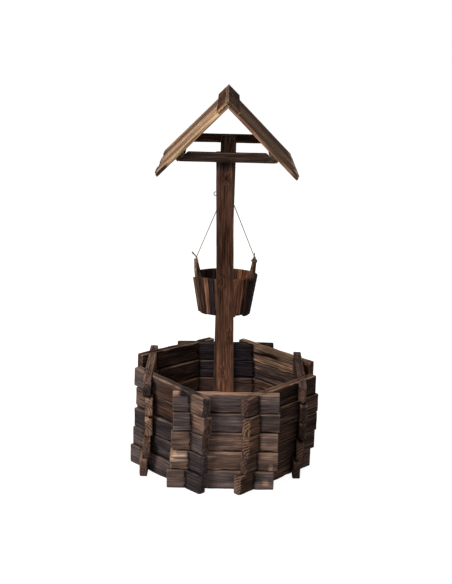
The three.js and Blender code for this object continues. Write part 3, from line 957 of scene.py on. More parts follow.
@dataclass
class Wall:
    """Five courses of eight half-lapped boards. A board passes over the next one round and under the last."""

    frame: dict
    courses: int = 5
    apothem: float = 226.94 * MM
    side_length: float = 188 * MM
    overhang: float = 58 * MM
    thickness: float = 24 * MM
    pitch: float = 59 * MM
    height: float = 58.7 * MM
    arris: float = 3.7 * MM
    lap_gap: float = 0.4 * MM
    joint: float = 1 * MM
    left_rise: float = 10 * MM
    # Painted shade on each board's lower arris, where the seam between courses lies in shade.
    foot_shade: float = 0.96

    LEFT_RISE_SHARES = (0.0, 0.0, 0.0, 0.8, 1.0)

    SHADED = Look(Tone.SLATE, 0.3, tone_start=Tone.SMOKE, butt=Tone.SLATE, splinters=0.0, bevel_end=5 * MM)
    SPLIT = Look(Tone.UMBER, 0.6, split_end=4 * MM, chips_end=1, butt=Tone.HUSK, splinters=0.9)
    RAGGED = Look(
        Tone.PLUM, 0.5, split_start=2 * MM, tone_start=Tone.UMBER, butt=Tone.UMBER, splinters=0.6, bevel_start=7 * MM
    )
    LOOKS = {
        (5, Side.FRONT): Look(
            Tone.SMOKE, 0.8, crest=Tone.FAWN, crest_depth=3.6 * MM,
            stains=(
                Stain(-0.143, 0.053, 0.012, 0.006, Tone.FAWN, 0.5), Stain(-0.116, 0.056, 0.02, 0.013, Tone.SOOT, 1.0),
                Stain(0.0, 0.012, 0.11, 0.012, Tone.PLUM, 0.5),
            ),
        ),
        (4, Side.FRONT): Look(Tone.SMOKE, 0.7, stains=(Stain(0.13, 0.02, 0.04, 0.025, Tone.PLUM, 0.7),)),
        (3, Side.FRONT): Look(
            Tone.HUSK, 0.8, chips_start=1,
            stains=(
                Stain(-0.13, 0.05, 0.03, 0.01, Tone.CLAY), Stain(0.0, 0.026, 0.06, 0.009, Tone.SLATE, 0.8),
                Stain(0.13, 0.03, 0.02, 0.012, Tone.SLATE, 0.5), Stain(-0.03, 0.044, 0.06, 0.009, Tone.CLAY, 0.6),
            ),
        ),
        (2, Side.FRONT): Look(
            Tone.HUSK, 1.0, split_start=5 * MM, chips_start=1, crest=Tone.STRAW, crest_depth=11 * MM, splinters=0.9,
            stains=(
                Stain(-0.13, 0.048, 0.036, 0.012, Tone.CREAM), Stain(-0.135, 0.03, 0.032, 0.0055, Tone.CREAM),
                Stain(-0.125, 0.0375, 0.034, 0.0035, Tone.BARK), Stain(-0.125, 0.0535, 0.03, 0.0025, Tone.UMBER),
                Stain(-0.125, 0.012, 0.04, 0.012, Tone.HUSK), Stain(-0.055, 0.046, 0.04, 0.012, Tone.CREAM, 0.6),
                Stain(0.125, 0.047, 0.03, 0.008, Tone.STRAW, 0.8), Stain(0.138, 0.014, 0.008, 0.013, Tone.FAWN),
                Stain(0.0, 0.016, 0.07, 0.014, Tone.UMBER, 0.3),
            ),
        ),
        (1, Side.FRONT): Look(
            Tone.SMOKE, 0.6,
            stains=(
                Stain(0.133, 0.024, 0.012, 0.012, Tone.FAWN, 0.7), Stain(-0.13, 0.03, 0.03, 0.03, Tone.HUSK, 0.7),
                Stain(0.1, 0.035, 0.03, 0.02, Tone.SLATE, 0.8),
            ),
        ),
        (5, Side.FRONT_LEFT): Look(
            Tone.PLUM, 0.8, tone_start=Tone.SMOKE, tone_end=Tone.CLAY, blend=0.15, butt=Tone.SLATE, splinters=0.0,
            bevel_end=6 * MM,
            stains=(
                Stain(-0.08, 0.05, 0.014, 0.014, Tone.STRAW, 0.7), Stain(0.08, 0.06, 0.05, 0.01, Tone.SLATE, 0.9),
                Stain(0.0, 0.02, 0.05, 0.014, Tone.RUSSET, 0.5),
            ),
        ),
        (4, Side.FRONT_LEFT): Look(
            Tone.PLUM, 0.7, tone_start=Tone.HUSK, tone_end=Tone.CLAY, butt=Tone.PLUM, splinters=0.0, bevel_end=6 * MM,
            stains=(Stain(0.02, 0.03, 0.06, 0.02, Tone.RUSSET, 0.6),),
        ),
        (3, Side.FRONT_LEFT): replace(SHADED, worn=0.45, tone_start=None, tone_end=Tone.SMOKE, butt=Tone.PLUM),
        (2, Side.FRONT_LEFT): replace(SHADED, bevel_end=6 * MM),
        (1, Side.FRONT_LEFT): replace(SHADED, blend=0.24),
        # The front-right boards' darker tones, COAL on the top course and BARK on the third, are their own colour
        # darkened further as painted shade on those faces.
        (5, Side.FRONT_RIGHT): Look(
            Tone.COAL, 0.6, round_start=4 * MM, tone_start=Tone.PLUM, crest=Tone.UMBER, crest_depth=5 * MM,
            butt=Tone.PLUM, splinters=0.05, bevel_start=7 * MM,
        ),
        (4, Side.FRONT_RIGHT): RAGGED,
        (3, Side.FRONT_RIGHT): replace(RAGGED, tone=Tone.BARK),
        (2, Side.FRONT_RIGHT): Look(Tone.PLUM, 0.5, round_start=3 * MM, butt=Tone.PLUM, bevel_start=6 * MM),
        (1, Side.FRONT_RIGHT): Look(
            Tone.PLUM, 0.5, tone_start=Tone.UMBER, butt=Tone.HUSK, splinters=0.6, bevel_start=5 * MM,
        ),
        (5, Side.LEFT): Look(
            Tone.HUSK, 0.4, butt=Tone.HUSK,
            stains=(Stain(0.152, 0.012, 0.05, 0.034, Tone.SOOT), Stain(0.0, 0.02, 0.1, 0.03, Tone.BARK)),
        ),
        (4, Side.LEFT): SPLIT,
        (3, Side.LEFT): SPLIT,
        (2, Side.LEFT): Look(Tone.UMBER, 0.5, butt=Tone.PLUM),
        (1, Side.LEFT): Look(Tone.UMBER, 0.5, round_end=2 * MM, butt=Tone.UMBER, tone_end=Tone.HUSK),
        (5, Side.RIGHT): Look(Tone.PLUM, 0.25, round_start=4 * MM, tone_end=Tone.HUSK, butt=Tone.UMBER, splinters=0.05),
        (4, Side.RIGHT): Look(Tone.BARK, 0.3, round_start=2 * MM, butt=Tone.COAL, splinters=0.0),
        (3, Side.RIGHT): Look(Tone.BARK, 0.3, round_start=3 * MM, butt=Tone.COAL, splinters=0.0),
        (2, Side.RIGHT): Look(Tone.BARK, 0.3, butt=Tone.BARK, splinters=0.3),
        (1, Side.RIGHT): Look(Tone.BARK, 0.3, round_start=3 * MM, butt=Tone.BARK),
        (5, Side.REAR_RIGHT): Look(
            Tone.FAWN, 0.6, tone_start=Tone.CHESTNUT, blend=0.06,
            stains=(
                Stain(0.07, 0.031, 0.05, 0.007, Tone.COAL, 1.0), Stain(0.02, 0.037, 0.05, 0.0055, Tone.COAL, 1.0),
                Stain(-0.02, 0.008, 0.06, 0.006, Tone.CLAY, 0.7), Stain(-0.06, 0.02, 0.03, 0.01, Tone.COPPER, 0.5),
            ),
        ),
        (4, Side.REAR_RIGHT): Look(Tone.HUSK, 0.6, stains=(Stain(0.05, 0.022, 0.09, 0.024, Tone.SLATE, 0.8),)),
        (3, Side.REAR_RIGHT): Look(Tone.UMBER, 0.5),
        (5, Side.REAR): Look(Tone.INK, 0.2),
        (4, Side.REAR): Look(Tone.INK, 0.2),
        (3, Side.REAR): Look(Tone.PLUM, 0.2),
        (5, Side.REAR_LEFT): Look(Tone.BARK, 0.6),
        (4, Side.REAR_LEFT): Look(Tone.BARK, 0.4),
        (3, Side.REAR_LEFT): Look(Tone.UMBER, 0.9, crest=Tone.COPPER),
    }
    OTHERS = tones("UMBER SMOKE BARK UMBER SLATE HUSK BARK")
    BRUSHED = (Side.FRONT, Side.FRONT_LEFT, Side.RIGHT)
    END_MARKS = (4.5 * MM, 7 * MM, 9.5 * MM, 12.5 * MM, 16 * MM)

    def place(self, course: int, side: Side) -> Place:
        """Where a board's own axes lie, with its origin in the middle of its foot.

        The left wall's boards are lifted by a rise h. The two that cross them lean about the foot of their far
        ends by the angle whose sine is h / (side_length + overhang), so that they meet the lifted ones.

        Args:
            course: Course number, from 1 at the ground.
            side: Side of the octagon.

        Returns:
            The board's place.
        """
        angle = side.value * math.pi / 4
        along = np.array([math.cos(angle), math.sin(angle), 0.0])
        inward = np.array([-math.sin(angle), math.cos(angle), 0.0])
        foot = self.ring_shift(course) - self.apothem * inward + (course - 1) * self.pitch * Z_AXIS
        rise = self.left_rise * self.LEFT_RISE_SHARES[course - 1]
        if side is Side.LEFT:
            foot = foot + rise * Z_AXIS
        lean = math.asin(rise / (self.side_length + self.overhang))
        turn = {Side.FRONT_LEFT: lean, Side.REAR_LEFT: -lean}.get(side, 0.0)
        leaned = along * math.cos(turn) - Z_AXIS * math.sin(turn)
        across = Z_AXIS * math.cos(turn) + along * math.sin(turn)
        pivot = math.copysign(self.side_length / 2 + self.overhang, turn)
        return Place(foot + pivot * (along - leaned), leaned, inward, across)

    def board(self, course: int, side: Side) -> Solid:
        """One board, with its length read from its CAD node.

        Args:
            course: Course number, from 1 at the ground.
            side: Side of the octagon.

        Returns:
            The closed surface, in its place.
        """
        place = self.place(course, side)
        run = (vertices(f"course_{course}_{side.name.lower()}", self.frame) - place.origin) @ place.along
        low, high, level = self.joint, self.height, self.height / 2
        lap = self.side_length / 2
        half = (self.thickness / 2 + self.lap_gap) * math.sqrt(2)
        stations = [
            Station(run.min(), low, high),
            Station(-lap - half, low, high, -1),
            Station(-lap - half, low, level, -1),
            Station(-lap + half, low, level, -1),
            Station(-lap + half, low, high, -1),
            Station(-lap + 3 * half, low, high),
            Station(lap - 3 * half, low, high),
            Station(lap - half, low, high, 1),
            Station(lap - half, level, high, 1),
            Station(lap + half, level, high, 1),
            Station(lap + half, low, high, 1),
            Station(run.max(), low, high),
        ]
        number = len(Side) * (course - 1) + side.value
        look = self.LOOKS.get((course, side), Look(self.OTHERS[number % len(self.OTHERS)]))
        timber = Timber(
            stations, self.thickness, 100 + number, arris=self.arris, side_steps=22, look=look,
            end_marks=self.END_MARKS, low_edge_shade=self.foot_shade,
            crossings=tuple((end * lap + edge * half, end) for end in (-1, 1) for edge in (-1, 1)),
        )
        return timber.solid(place)

    def ring_shift(self, course: int) -> np.ndarray:
        """How far a course is set off the middle: the places of its outermost corners tell.

        Args:
            course: Course number, from 1 at the ground.

        Returns:
            The shift.
        """
        sides = ("left", "right", "front", "rear")
        left, right, front, rear = (vertices(f"course_{course}_{side}", self.frame) for side in sides)
        across = (left[:, 0].min() + right[:, 0].max()) / 2
        return np.array([across, (front[:, 1].min() + rear[:, 1].max()) / 2, 0.0])

    def build(self) -> Iterator[bpy.types.Object]:
        """Makes every board in place of its CAD node.

        Yields:
            Each piece.
        """
        burnt, brushed = BURNT_BOARD.material(), BRUSHED_BOARD.material()
        for course in range(1, self.courses + 1):
            for side in Side:
                finish = brushed if side in self.BRUSHED else burnt
                name = f"{course}_{side.name.lower()}"
                yield stand_in(f"board_{name}", self.board(course, side), finish, f"course_{name}", "wall_boards")


@dataclass
class PostsAndBars:
    """The two leaning posts, the mitred crossbars on their outer faces and the round bar between them."""

    frame: dict
    post_width: float = 48 * MM
    post_thickness: float = 30 * MM
    post_y: float = 199.64 * MM
    front_foot: float = 8 * MM
    front_lean: float = math.radians(-1.29)
    rear_foot: float = -14.5 * MM
    rear_lean: float = math.radians(0.56)
    bar_radius: float = 11 * MM
    foot_gap: float = 0.5 * MM
    mitre_reach: float = 60 * MM

    TOP_KNOTS = ((0.07, 0.004), (0.36, -0.008), (0.52, 0.011))
    LOW_KNOT = (0.35, -0.006)

    def post(self, node: str, foot: float, lean: float, facing: int, look: Look, seed: int) -> Solid:
        """A post from the ground to its CAD node's height, leaning by a turn about Y.

        Args:
            node: Its CAD node.
            foot: Where its axis meets the ground, along X.
            lean: Angle of the turn.
            facing: -1 at the front, 1 at the rear.
            look: Its colours.
            seed: Seed of its wear.

        Returns:
            The closed surface.
        """
        half = self.post_width / 2
        rise = vertices(node, self.frame)[:, 2].max() / math.cos(lean) - half * abs(math.tan(lean))
        lift = abs(math.sin(lean)) * half + self.foot_gap
        timber = Timber(
            [Station(lift, -half, half), Station(rise, -half, half)], self.post_thickness, seed,
            arris=2 * MM, step=4 * MM, side_steps=16, look=look,
            knots=(*((rise - drop, across) for drop, across in self.TOP_KNOTS), self.LOW_KNOT),
        )
        up = (math.sin(lean), 0.0, math.cos(lean))
        across = (math.cos(lean), 0.0, -math.sin(lean))
        return timber.solid(Place((foot, facing * self.post_y, 0.0), up, (0.0, -facing, 0.0), across))

    def crossbar(self, node: str, look: Look, seed: int) -> Solid:
        """A crossbar whose 45 degree ends follow the roof: x = middle + half - z at the right end.

        Args:
            node: Its CAD node, which gives its box.
            look: Its colours.
            seed: Seed of its wear.

        Returns:
            The closed surface.
        """
        low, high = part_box(node)
        half = (high.x - low.x) / 2 - (high.z - low.z) / 2
        plain = half - self.mitre_reach
        runs = ((-half, 1), (-plain, 0), (plain, 0), (half, -1))
        stations = [Station(x, low.z, high.z, lean_z=lean) for x, lean in runs]
        # Painted shade along the lower arris, under the bar.
        timber = Timber(stations, high.y - low.y, seed, arris=1.6 * MM, look=look, low_edge_shade=0.6)
        middle = ((low.x + high.x) / 2, (low.y + high.y) / 2, 0.0)
        return timber.solid(Place(middle, X_AXIS, Y_AXIS, Z_AXIS))

    def round_bar(self, seed: int) -> Solid:
        """The bar: an oblong whose arrises are nearly as round as it is thick, carried along Y.

        Args:
            seed: Seed of its wear.

        Returns:
            The closed surface.
        """
        low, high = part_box("rope_bar")
        timber = Timber(
            [Station(y, -self.bar_radius, self.bar_radius) for y in (low.y, high.y)], 2 * self.bar_radius, seed,
            arris=self.bar_radius * 0.98, end_ease=1 * MM, side_steps=1, edge_steps=1, corner_steps=6,
            look=Look(Tone.UMBER, 0.1),
        )
        middle = ((low.x + high.x) / 2, 0.0, (low.z + high.z) / 2)
        return timber.solid(Place(middle, Y_AXIS, X_AXIS, Z_AXIS))

    def build(self) -> Iterator[bpy.types.Object]:
        """Makes the posts, the crossbars and the round bar in place of their CAD nodes.

        Yields:
            Each piece.
        """
        finish = POST_WOOD.material()
        front = Look(Tone.SIENNA, 0.3, burn_end=0.05, tone_end=Tone.MAHOGANY, blend=0.8)
        rear = Look(Tone.UMBER, 0.2)
        made = (
            ("front_post", "posts", self.post("front_post", self.front_foot, self.front_lean, -1, front, 31)),
            ("rear_post", "posts", self.post("rear_post", self.rear_foot, self.rear_lean, 1, rear, 32)),
            ("front_crossbar", "crossbars", self.crossbar("front_crossbar", Look(Tone.BARK, 0.6), 33)),
            ("rear_crossbar", "crossbars", self.crossbar("rear_crossbar", Look(Tone.MAHOGANY, 0.2), 34)),
            ("rope_bar", "rope_bar", self.round_bar(77)),
        )
        for node, slot, solid in made:
            yield stand_in(f"{node}_timber", solid, finish, node, slot)


@dataclass
class Roof:
    """Two slopes of six slats on a purlin each, under a two-board ridge cap."""

    frame: dict
    ridge: Vec = (-8 * MM, -8 * MM, 1108 * MM)
    pitch: float = math.radians(45)
    slats: int = 6
    slat_width: float = 78 * MM
    slat_gap: float = 4 * MM
    slat_thickness: float = 8.5 * MM
    slat_length: float = 270 * MM
    stagger: float = 5 * MM
    purlin_width: float = 28 * MM
    purlin_thickness: float = 9 * MM
    purlin_foot: float = 203.06 * MM
    purlin_half: float = 234.8 * MM
    cap_thickness: float = 8.3 * MM
    left_cap_width: float = 36 * MM
    right_cap_width: float = 48 * MM
    cap_overhang: float = 5 * MM
    seat_gap: float = 0.3 * MM

    LEFT_STAGGER_SHARES = (1.4, 0.2, 1.3, 0.5, 2.0, 0.0)
    RIGHT_STAGGER_SHARES = (0.4, 2.6, 2.4, 2.2, 2.0, 1.6)
    LEFT_LOOKS = (
        Look(Tone.OAT, 0.4, burn_end=0.02),
        Look(Tone.TAWNY, 0.5, burn_end=0.02),
        Look(Tone.OAT, 0.4, burn_end=0.012),
        Look(Tone.FAWN, 0.4, burn_end=0.02),
        Look(Tone.OAT, 0.4, burn_end=0.015),
        Look(
            Tone.PINE, 0.7, butt=Tone.SLATE,
            stains=(
                Stain(0.13, 0.2, 0.14, 0.009, Tone.CLAY, 0.4), Stain(0.13, 0.248, 0.2, 0.012, Tone.OAT, 0.8),
                Stain(0.25, 0.245, 0.035, 0.02, Tone.BARK, 1.0), Stain(0.1, 0.222, 0.16, 0.009, Tone.SAND),
            ),
        ),
    )
    RIGHT_LOOKS = (
        Look(
            Tone.UMBER, 0.35, butt=Tone.COPPER,
            stains=(
                Stain(0.12, -0.242, 0.2, 0.026, Tone.OAT, 0.9), Stain(0.1, -0.246, 0.2, 0.01, Tone.AMBER),
                Stain(0.265, -0.235, 0.03, 0.02, Tone.COAL),
            ),
        ),
        # The pale SAND and PINE on the right slats' lower ends and butts is a painted highlight, for the bright rim
        # light on those ends.
        *(
            Look(tone, 0.6, tone_end=end, blend=blend, butt=end)
            for tone, end, blend in (
                (Tone.TAWNY, Tone.SAND, 16 * MM),
                (Tone.AMBER, Tone.SAND, 20 * MM),
                (Tone.TAWNY, Tone.PINE, 12 * MM),
                (Tone.UMBER, Tone.SAND, 16 * MM),
                (Tone.TAWNY, Tone.PINE, 12 * MM),
            )
        ),
    )
    # Painted shade on the slats' long edges, for the shade in the gaps between them; the front slat of each slope takes
    # less.
    EDGE_SHADE = 0.75
    FRONT_EDGE_SHADES = {(-1, 5): 0.2, (1, 0): 0.1}

    def slope(self, side: int) -> tuple[np.ndarray, np.ndarray, np.ndarray]:
        """The directions of one slope.

        Args:
            side: -1 for the left slope, 1 for the right one.

        Returns:
            The directions down the slope, along its ridge and out of it.
        """
        down = np.array([side * math.cos(self.pitch), 0.0, -math.sin(self.pitch)])
        out = np.array([side * math.sin(self.pitch), 0.0, math.cos(self.pitch)])
        return down, side * Y_AXIS, out

    def lying(
        self, side: int, spans: Sequence[float], ridgewise: bool, look: Look, seed: int, edge_shade: float = 0.0
    ) -> Solid:
        """A board in a slope.

        Args:
            side: -1 for the left slope, 1 for the right one.
            spans: Its extents down the slope, along the ridge and out of the slope, two each.
            ridgewise: Whether its grain runs along the ridge, and not down the slope.
            look: Its colours.
            seed: Seed of its wear.
            edge_shade: How dark its long edges are.

        Returns:
            The closed surface.
        """
        down, ridge, out = self.slope(side)
        x0, x1, y0, y1, z0, z1 = spans
        stations = [Station(y, x0, x1) for y in (y0, y1)] if ridgewise else [Station(x, y0, y1) for x in (x0, x1)]
        timber = Timber(
            stations, z1 - z0, seed, arris=1.3 * MM, end_ease=1.3 * MM, wobble=0.3 * MM, edge_steps=2,
            look=look, low_edge_shade=edge_shade, high_edge_shade=edge_shade,
        )
        middle = np.array(self.ridge) + out * (z0 + z1) / 2
        return timber.solid(Place(middle, *((ridge, out, down) if ridgewise else (down, out, ridge))))

    def panel(self, side: int) -> Solid:
        """The six slats and the purlin of one slope.

        Args:
            side: -1 for the left slope, 1 for the right one.

        Returns:
            Their closed surfaces.
        """
        upper = 0.0 if side < 0 else self.slat_thickness + self.seat_gap
        looks = self.LEFT_LOOKS if side < 0 else self.RIGHT_LOOKS
        shares = self.LEFT_STAGGER_SHARES if side < 0 else self.RIGHT_STAGGER_SHARES
        boards = []
        for number, (start, share, look) in enumerate(zip(self.slat_starts(), shares, looks)):
            foot = self.slat_length + self.stagger * share
            spans = (upper, foot, start, start + self.slat_width, -self.slat_thickness, 0.0)
            # Painted shade on this slat's long edges.
            edge_shade = self.FRONT_EDGE_SHADES.get((side, number), self.EDGE_SHADE)
            boards.append(self.lying(side, spans, False, look, 50 + 10 * side + number, edge_shade))
        top = -self.slat_thickness
        spans = (self.purlin_foot - self.purlin_width, self.purlin_foot, -self.purlin_half, self.purlin_half)
        boards.append(self.lying(side, (*spans, top - self.purlin_thickness, top), True, Look(Tone.COAL), 70 + side))
        return joined(boards)

    def slat_starts(self) -> np.ndarray:
        """Where each slat starts along the ridge, from its middle."""
        pitch = self.slat_width + self.slat_gap
        return np.arange(self.slats) * pitch - (self.slats * pitch - self.slat_gap) / 2

    def cap(self, side: int) -> Solid:
        """One board of the ridge cap, with the right one running over the left one's edge.

        Args:
            side: -1 for the left board, 1 for the right one.

        Returns:
            The closed surface.
        """
        top = self.seat_gap + self.cap_thickness
        half = self.cap_overhang - self.slat_starts()[0]
        span = (0.0, self.left_cap_width) if side < 0 else (-top, self.right_cap_width - top)
        look = Look(Tone.CHESTNUT, 0.45, butt=Tone.HONEY) if side < 0 else Look(Tone.MAHOGANY, 0.3)
        return self.lying(side, (*span, -half, half, self.seat_gap, top), True, look, 80 + side)

    def build(self) -> Iterator[bpy.types.Object]:
        """Makes both slopes and both cap boards in place of their CAD nodes.

        Yields:
            Each piece.
        """
        finish = ROOF_WOOD.material()
        made = (
            ("left_roof_panel", "left_roof", self.panel(-1)),
            ("right_roof_panel", "right_roof", self.panel(1)),
            ("left_ridge_cap", "ridge_caps", self.cap(-1)),
            ("right_ridge_cap", "ridge_caps", self.cap(1)),
        )
        for node, slot, solid in made:
            yield stand_in(f"{node}_boards", solid, finish, node, slot)


@dataclass
class Bucket:
    """A tapered ring of staves with an ear in a gap at each side, hung askew."""

    frame: dict
    centre: Vec = (-6.6 * MM, 0.0, 584.83 * MM)
    yaw: float = math.radians(-30)
    tilt: float = math.radians(-4)
    rim_radius: float = 97 * MM
    height: float = 118 * MM
    taper: float = 20 * MM
    thickness: float = 8 * MM
    joint: float = -0.2 * MM
    front_count: int = 14
    rear_count: int = 15
    ear_slot: float = math.radians(17)
    front_foot_rise: float = 5 * MM
    rim_dip: float = 19 * MM
    rim_dip_reach: float = math.radians(52)
    ear_lead: float = math.radians(3.6)
    ear_fill: float = 1.1 * MM
    ear_fill_slope: float = 0.15

    FRONT_TONES = tones(
        "UMBER COAL UMBER UMBER MAHOGANY BARK SIENNA SOOT RUSSET BARK CHESTNUT SIENNA SIENNA CHESTNUT"
    )
    REAR_TONES = tones(
        "PITCH PITCH CHESTNUT COPPER COPPER COPPER RUSSET COPPER BARK RUSSET BARK COAL BARK COAL BARK"
    )
    UNEVEN_FEET = 3.4 * MM
    BURNT_FOOT = 7 * MM

    def hang(self) -> np.ndarray:
        """The turn of the hanging bucket: its yaw about Z, then its tilt about X."""
        return np.array(Matrix.Rotation(self.tilt, 3, "X") @ Matrix.Rotation(self.yaw, 3, "Z"))

    def stave(
        self, angle: float, turn: float, look: Look, seed: int, cut: tuple[float, float, float], beside: int
    ) -> Solid:
        """A stave at an angle round the ring, wedge-shaped: its width grows with its distance from the axis.

        Args:
            angle: Where its middle lies round the ring.
            turn: The angle that it takes up.
            look: Its colours.
            seed: Seed of its wear.
            cut: How far its top lies under the rim at its first and its second edge, and its foot over the ring's.
            beside: -1 or 1 where its first or its second edge stands against an ear, otherwise 0.

        Returns:
            The closed surface.
        """
        lean = math.atan(self.taper / self.height)
        radial = np.array([math.cos(angle), math.sin(angle), 0.0])
        down = -Z_AXIS * math.cos(lean) - radial * math.sin(lean)
        out = radial * math.cos(lean) - Z_AXIS * math.sin(lean)
        side = np.array([-math.sin(angle), math.cos(angle), 0.0])
        middle = self.rim_radius - self.thickness / 2
        tangent = math.tan(turn / 2)
        first_dip, second_dip, foot_rise = cut
        top = (first_dip + second_dip) / 2 / math.cos(lean)
        length = (self.height - foot_rise) / math.cos(lean)
        half = middle * tangent - self.joint / 2
        foot = (middle - self.taper) * tangent - self.joint / 2
        slant = (second_dip - first_dip) / (2 * half)

        def wedge(points: np.ndarray) -> np.ndarray:
            """z grows with y as the radius does, and further beside an ear, whose sides are parallel.

            Args:
                points: Points of the straight timber.

            Returns:
                The points moved.
            """
            y, z = points[:, 1], points[:, 2]
            share = np.clip(beside * z / foot, 0, 1)
            wide = z * (1 + y / middle) + beside * share * (self.ear_fill + self.ear_fill_slope * y)
            return np.column_stack([points[:, 0], y, wide])

        # Painted shade on each stave's second side arris, the larger share, and less on its first, which keeps more
        # painted highlight: on the front staves the darker arris is the right-hand one, away from the light.
        timber = Timber(
            [Station(top, -half, half, lean_z=slant), Station(length, -foot, foot)], self.thickness, seed,
            arris=1.5 * MM, end_ease=1 * MM, wobble=0.3 * MM, side_steps=5, edge_steps=2,
            look=look, warp=wedge, low_edge_shade=0.3, high_edge_shade=0.9,
        )
        turned = self.hang()
        origin = turned @ (radial * middle) + np.array(self.centre)
        return timber.solid(Place(origin, turned @ down, turned @ out, turned @ side))

    def dip(self, past_ear: float, is_front: bool) -> float:
        """How far the tops lie under the rim at an angle past the left ear: they fall towards it in front."""
        return self.rim_dip * max(1 - past_ear / self.rim_dip_reach, 0) if is_front else 0.0

    def arc(self, first: float, last: float, is_front: bool) -> Solid:
        """The staves between two angles.

        Args:
            first: The angle that they start at.
            last: The angle that they end at.
            is_front: Whether this is the front arc.

        Returns:
            Their closed surfaces.
        """
        count = self.front_count if is_front else self.rear_count
        tone_row = self.FRONT_TONES if is_front else self.REAR_TONES
        rise = self.front_foot_rise if is_front else 0.0
        turn = (last - first) / count
        draw = np.random.default_rng(count)
        staves = []
        for number, tone in enumerate(tone_row):
            start = number * turn
            uneven = draw.uniform(-self.UNEVEN_FEET, self.UNEVEN_FEET)
            cut = (self.dip(start, is_front), self.dip(start + turn, is_front), rise + uneven)
            seed = 200 + 40 * is_front + number
            beside = {0: -1, count - 1: 1}.get(number, 0)
            look = Look(tone, burn_end=self.BURNT_FOOT)
            staves.append(self.stave(first + start + turn / 2, turn, look, seed, cut, beside))
        return joined(staves)

    def build(self) -> Iterator[bpy.types.Object]:
        """Makes both arcs of staves in place of their CAD nodes, and dresses the ears and the floor.

        Yields:
            Each piece.
        """
        finish = STAVE_WOOD.material()
        edge = self.ear_slot / 2
        front = (math.pi + self.ear_lead + edge, 2 * math.pi - self.ear_lead - edge)
        rear = (edge - self.ear_lead, math.pi + self.ear_lead - edge)
        for node, angles, is_front in (("bucket_front_staves", front, True), ("bucket_rear_staves", rear, False)):
            yield stand_in(f"{node}_wood", self.arc(*angles, is_front), finish, node, "bucket", "bucket")
        kept = (("left_ear", LEFT_EAR_WOOD), ("right_ear", RIGHT_EAR_WOOD), ("floor", FLOOR_WOOD))
        for node, wood in kept:
            piece = self.frame["nodes"][f"bucket_{node}"]
            piece.data.materials.clear()
            piece.data.materials.append(wood.material())
            yield piece


def drawn_path(points: Sequence[Sequence[float]], step: float, soften: float) -> np.ndarray:
    """Points every step along straight runs, then each replaced by a bell-weighted mean of its neighbours.

    Args:
        points: The corners of the path.
        step: Spacing of the new points.
        soften: How far the mean reaches to each side.

    Returns:
        The new points, with the path's two ends kept.
    """
    corners = np.array(points)
    lengths = lengths_along(corners)
    places = np.linspace(0, lengths[-1], max(int(lengths[-1] / step), 2) + 1)
    path = np.column_stack([np.interp(places, lengths, corners[:, axis]) for axis in range(3)])
    reach = max(int(soften / step), 1)
    weights = np.hanning(2 * reach + 3)[1:-1]
    padded = np.concatenate([np.repeat(path[:1], reach, 0), path, np.repeat(path[-1:], reach, 0)])
    soft = np.column_stack([np.convolve(padded[:, axis], weights / weights.sum(), "valid") for axis in range(3)])
    soft[0], soft[-1] = path[0], path[-1]
    return soft


def square_to(path: np.ndarray, reference: np.ndarray) -> tuple[np.ndarray, np.ndarray]:
    """Two directions square to a path and to each other at each point: unit(a x r) and a x unit(a x r).

    Args:
        path: The path's points.
        reference: A direction r, or one for each point, that the path's own direction a never follows.

    Returns:
        The first and the second direction, one a row.
    """
    ahead = unit(np.gradient(path, axis=0))
    first = unit(np.cross(ahead, np.broadcast_to(reference, path.shape)))
    return first, np.cross(ahead, first)


def ringed(rings: np.ndarray, ends: np.ndarray, tone: Tone) -> Solid:
    """A surface through rings of points, closed by a fan to a middle point at each end.

    Args:
        rings: The points, by ring, place round it and coordinate.
        ends: The two middle points, one a row.
        tone: Its colour.

    Returns:
        The closed surface.
    """
    count, sides = rings.shape[:2]
    here = np.arange(sides)
    after = (here + 1) % sides
    row = (np.arange(count - 1) * sides)[:, None]
    quads = np.stack([row + here, row + after, row + sides + after, row + sides + here], axis=-1).reshape(-1, 4)
    last, total = (count - 1) * sides, count * sides
    fans = [
        np.stack([here, np.full(sides, total), after], axis=-1),
        np.stack([last + here, last + after, np.full(sides, total + 1)], axis=-1),
    ]
    points = np.concatenate([rings.reshape(-1, 3), ends])
    blank = np.zeros(len(points))
    colours = np.tile(tone.linear(), (len(points), 1))
    return Solid(points, quads, np.concatenate(fans), points, colours, blank, blank, blank).outward()


def tube(path: np.ndarray, reference: np.ndarray, radii: np.ndarray, sides: int, tone: Tone) -> Solid:
    """A round tube about a path: p + r (cos a n + sin a b), with n and b square to the path's direction.

    Args:
        path: The path's points.
        reference: A direction, or one for each point, that the path never follows.
        radii: The tube's radius at each point.
        sides: Points round it.
        tone: Its colour.

    Returns:
        The closed surface.
    """
    first, second = square_to(path, reference)
    angles = (np.arange(sides) * 2 * math.pi / sides)[None, :, None]
    ring = np.cos(angles) * first[:, None] + np.sin(angles) * second[:, None]
    return ringed(path[:, None] + radii[:, None, None] * ring, path[[0, -1]], tone)


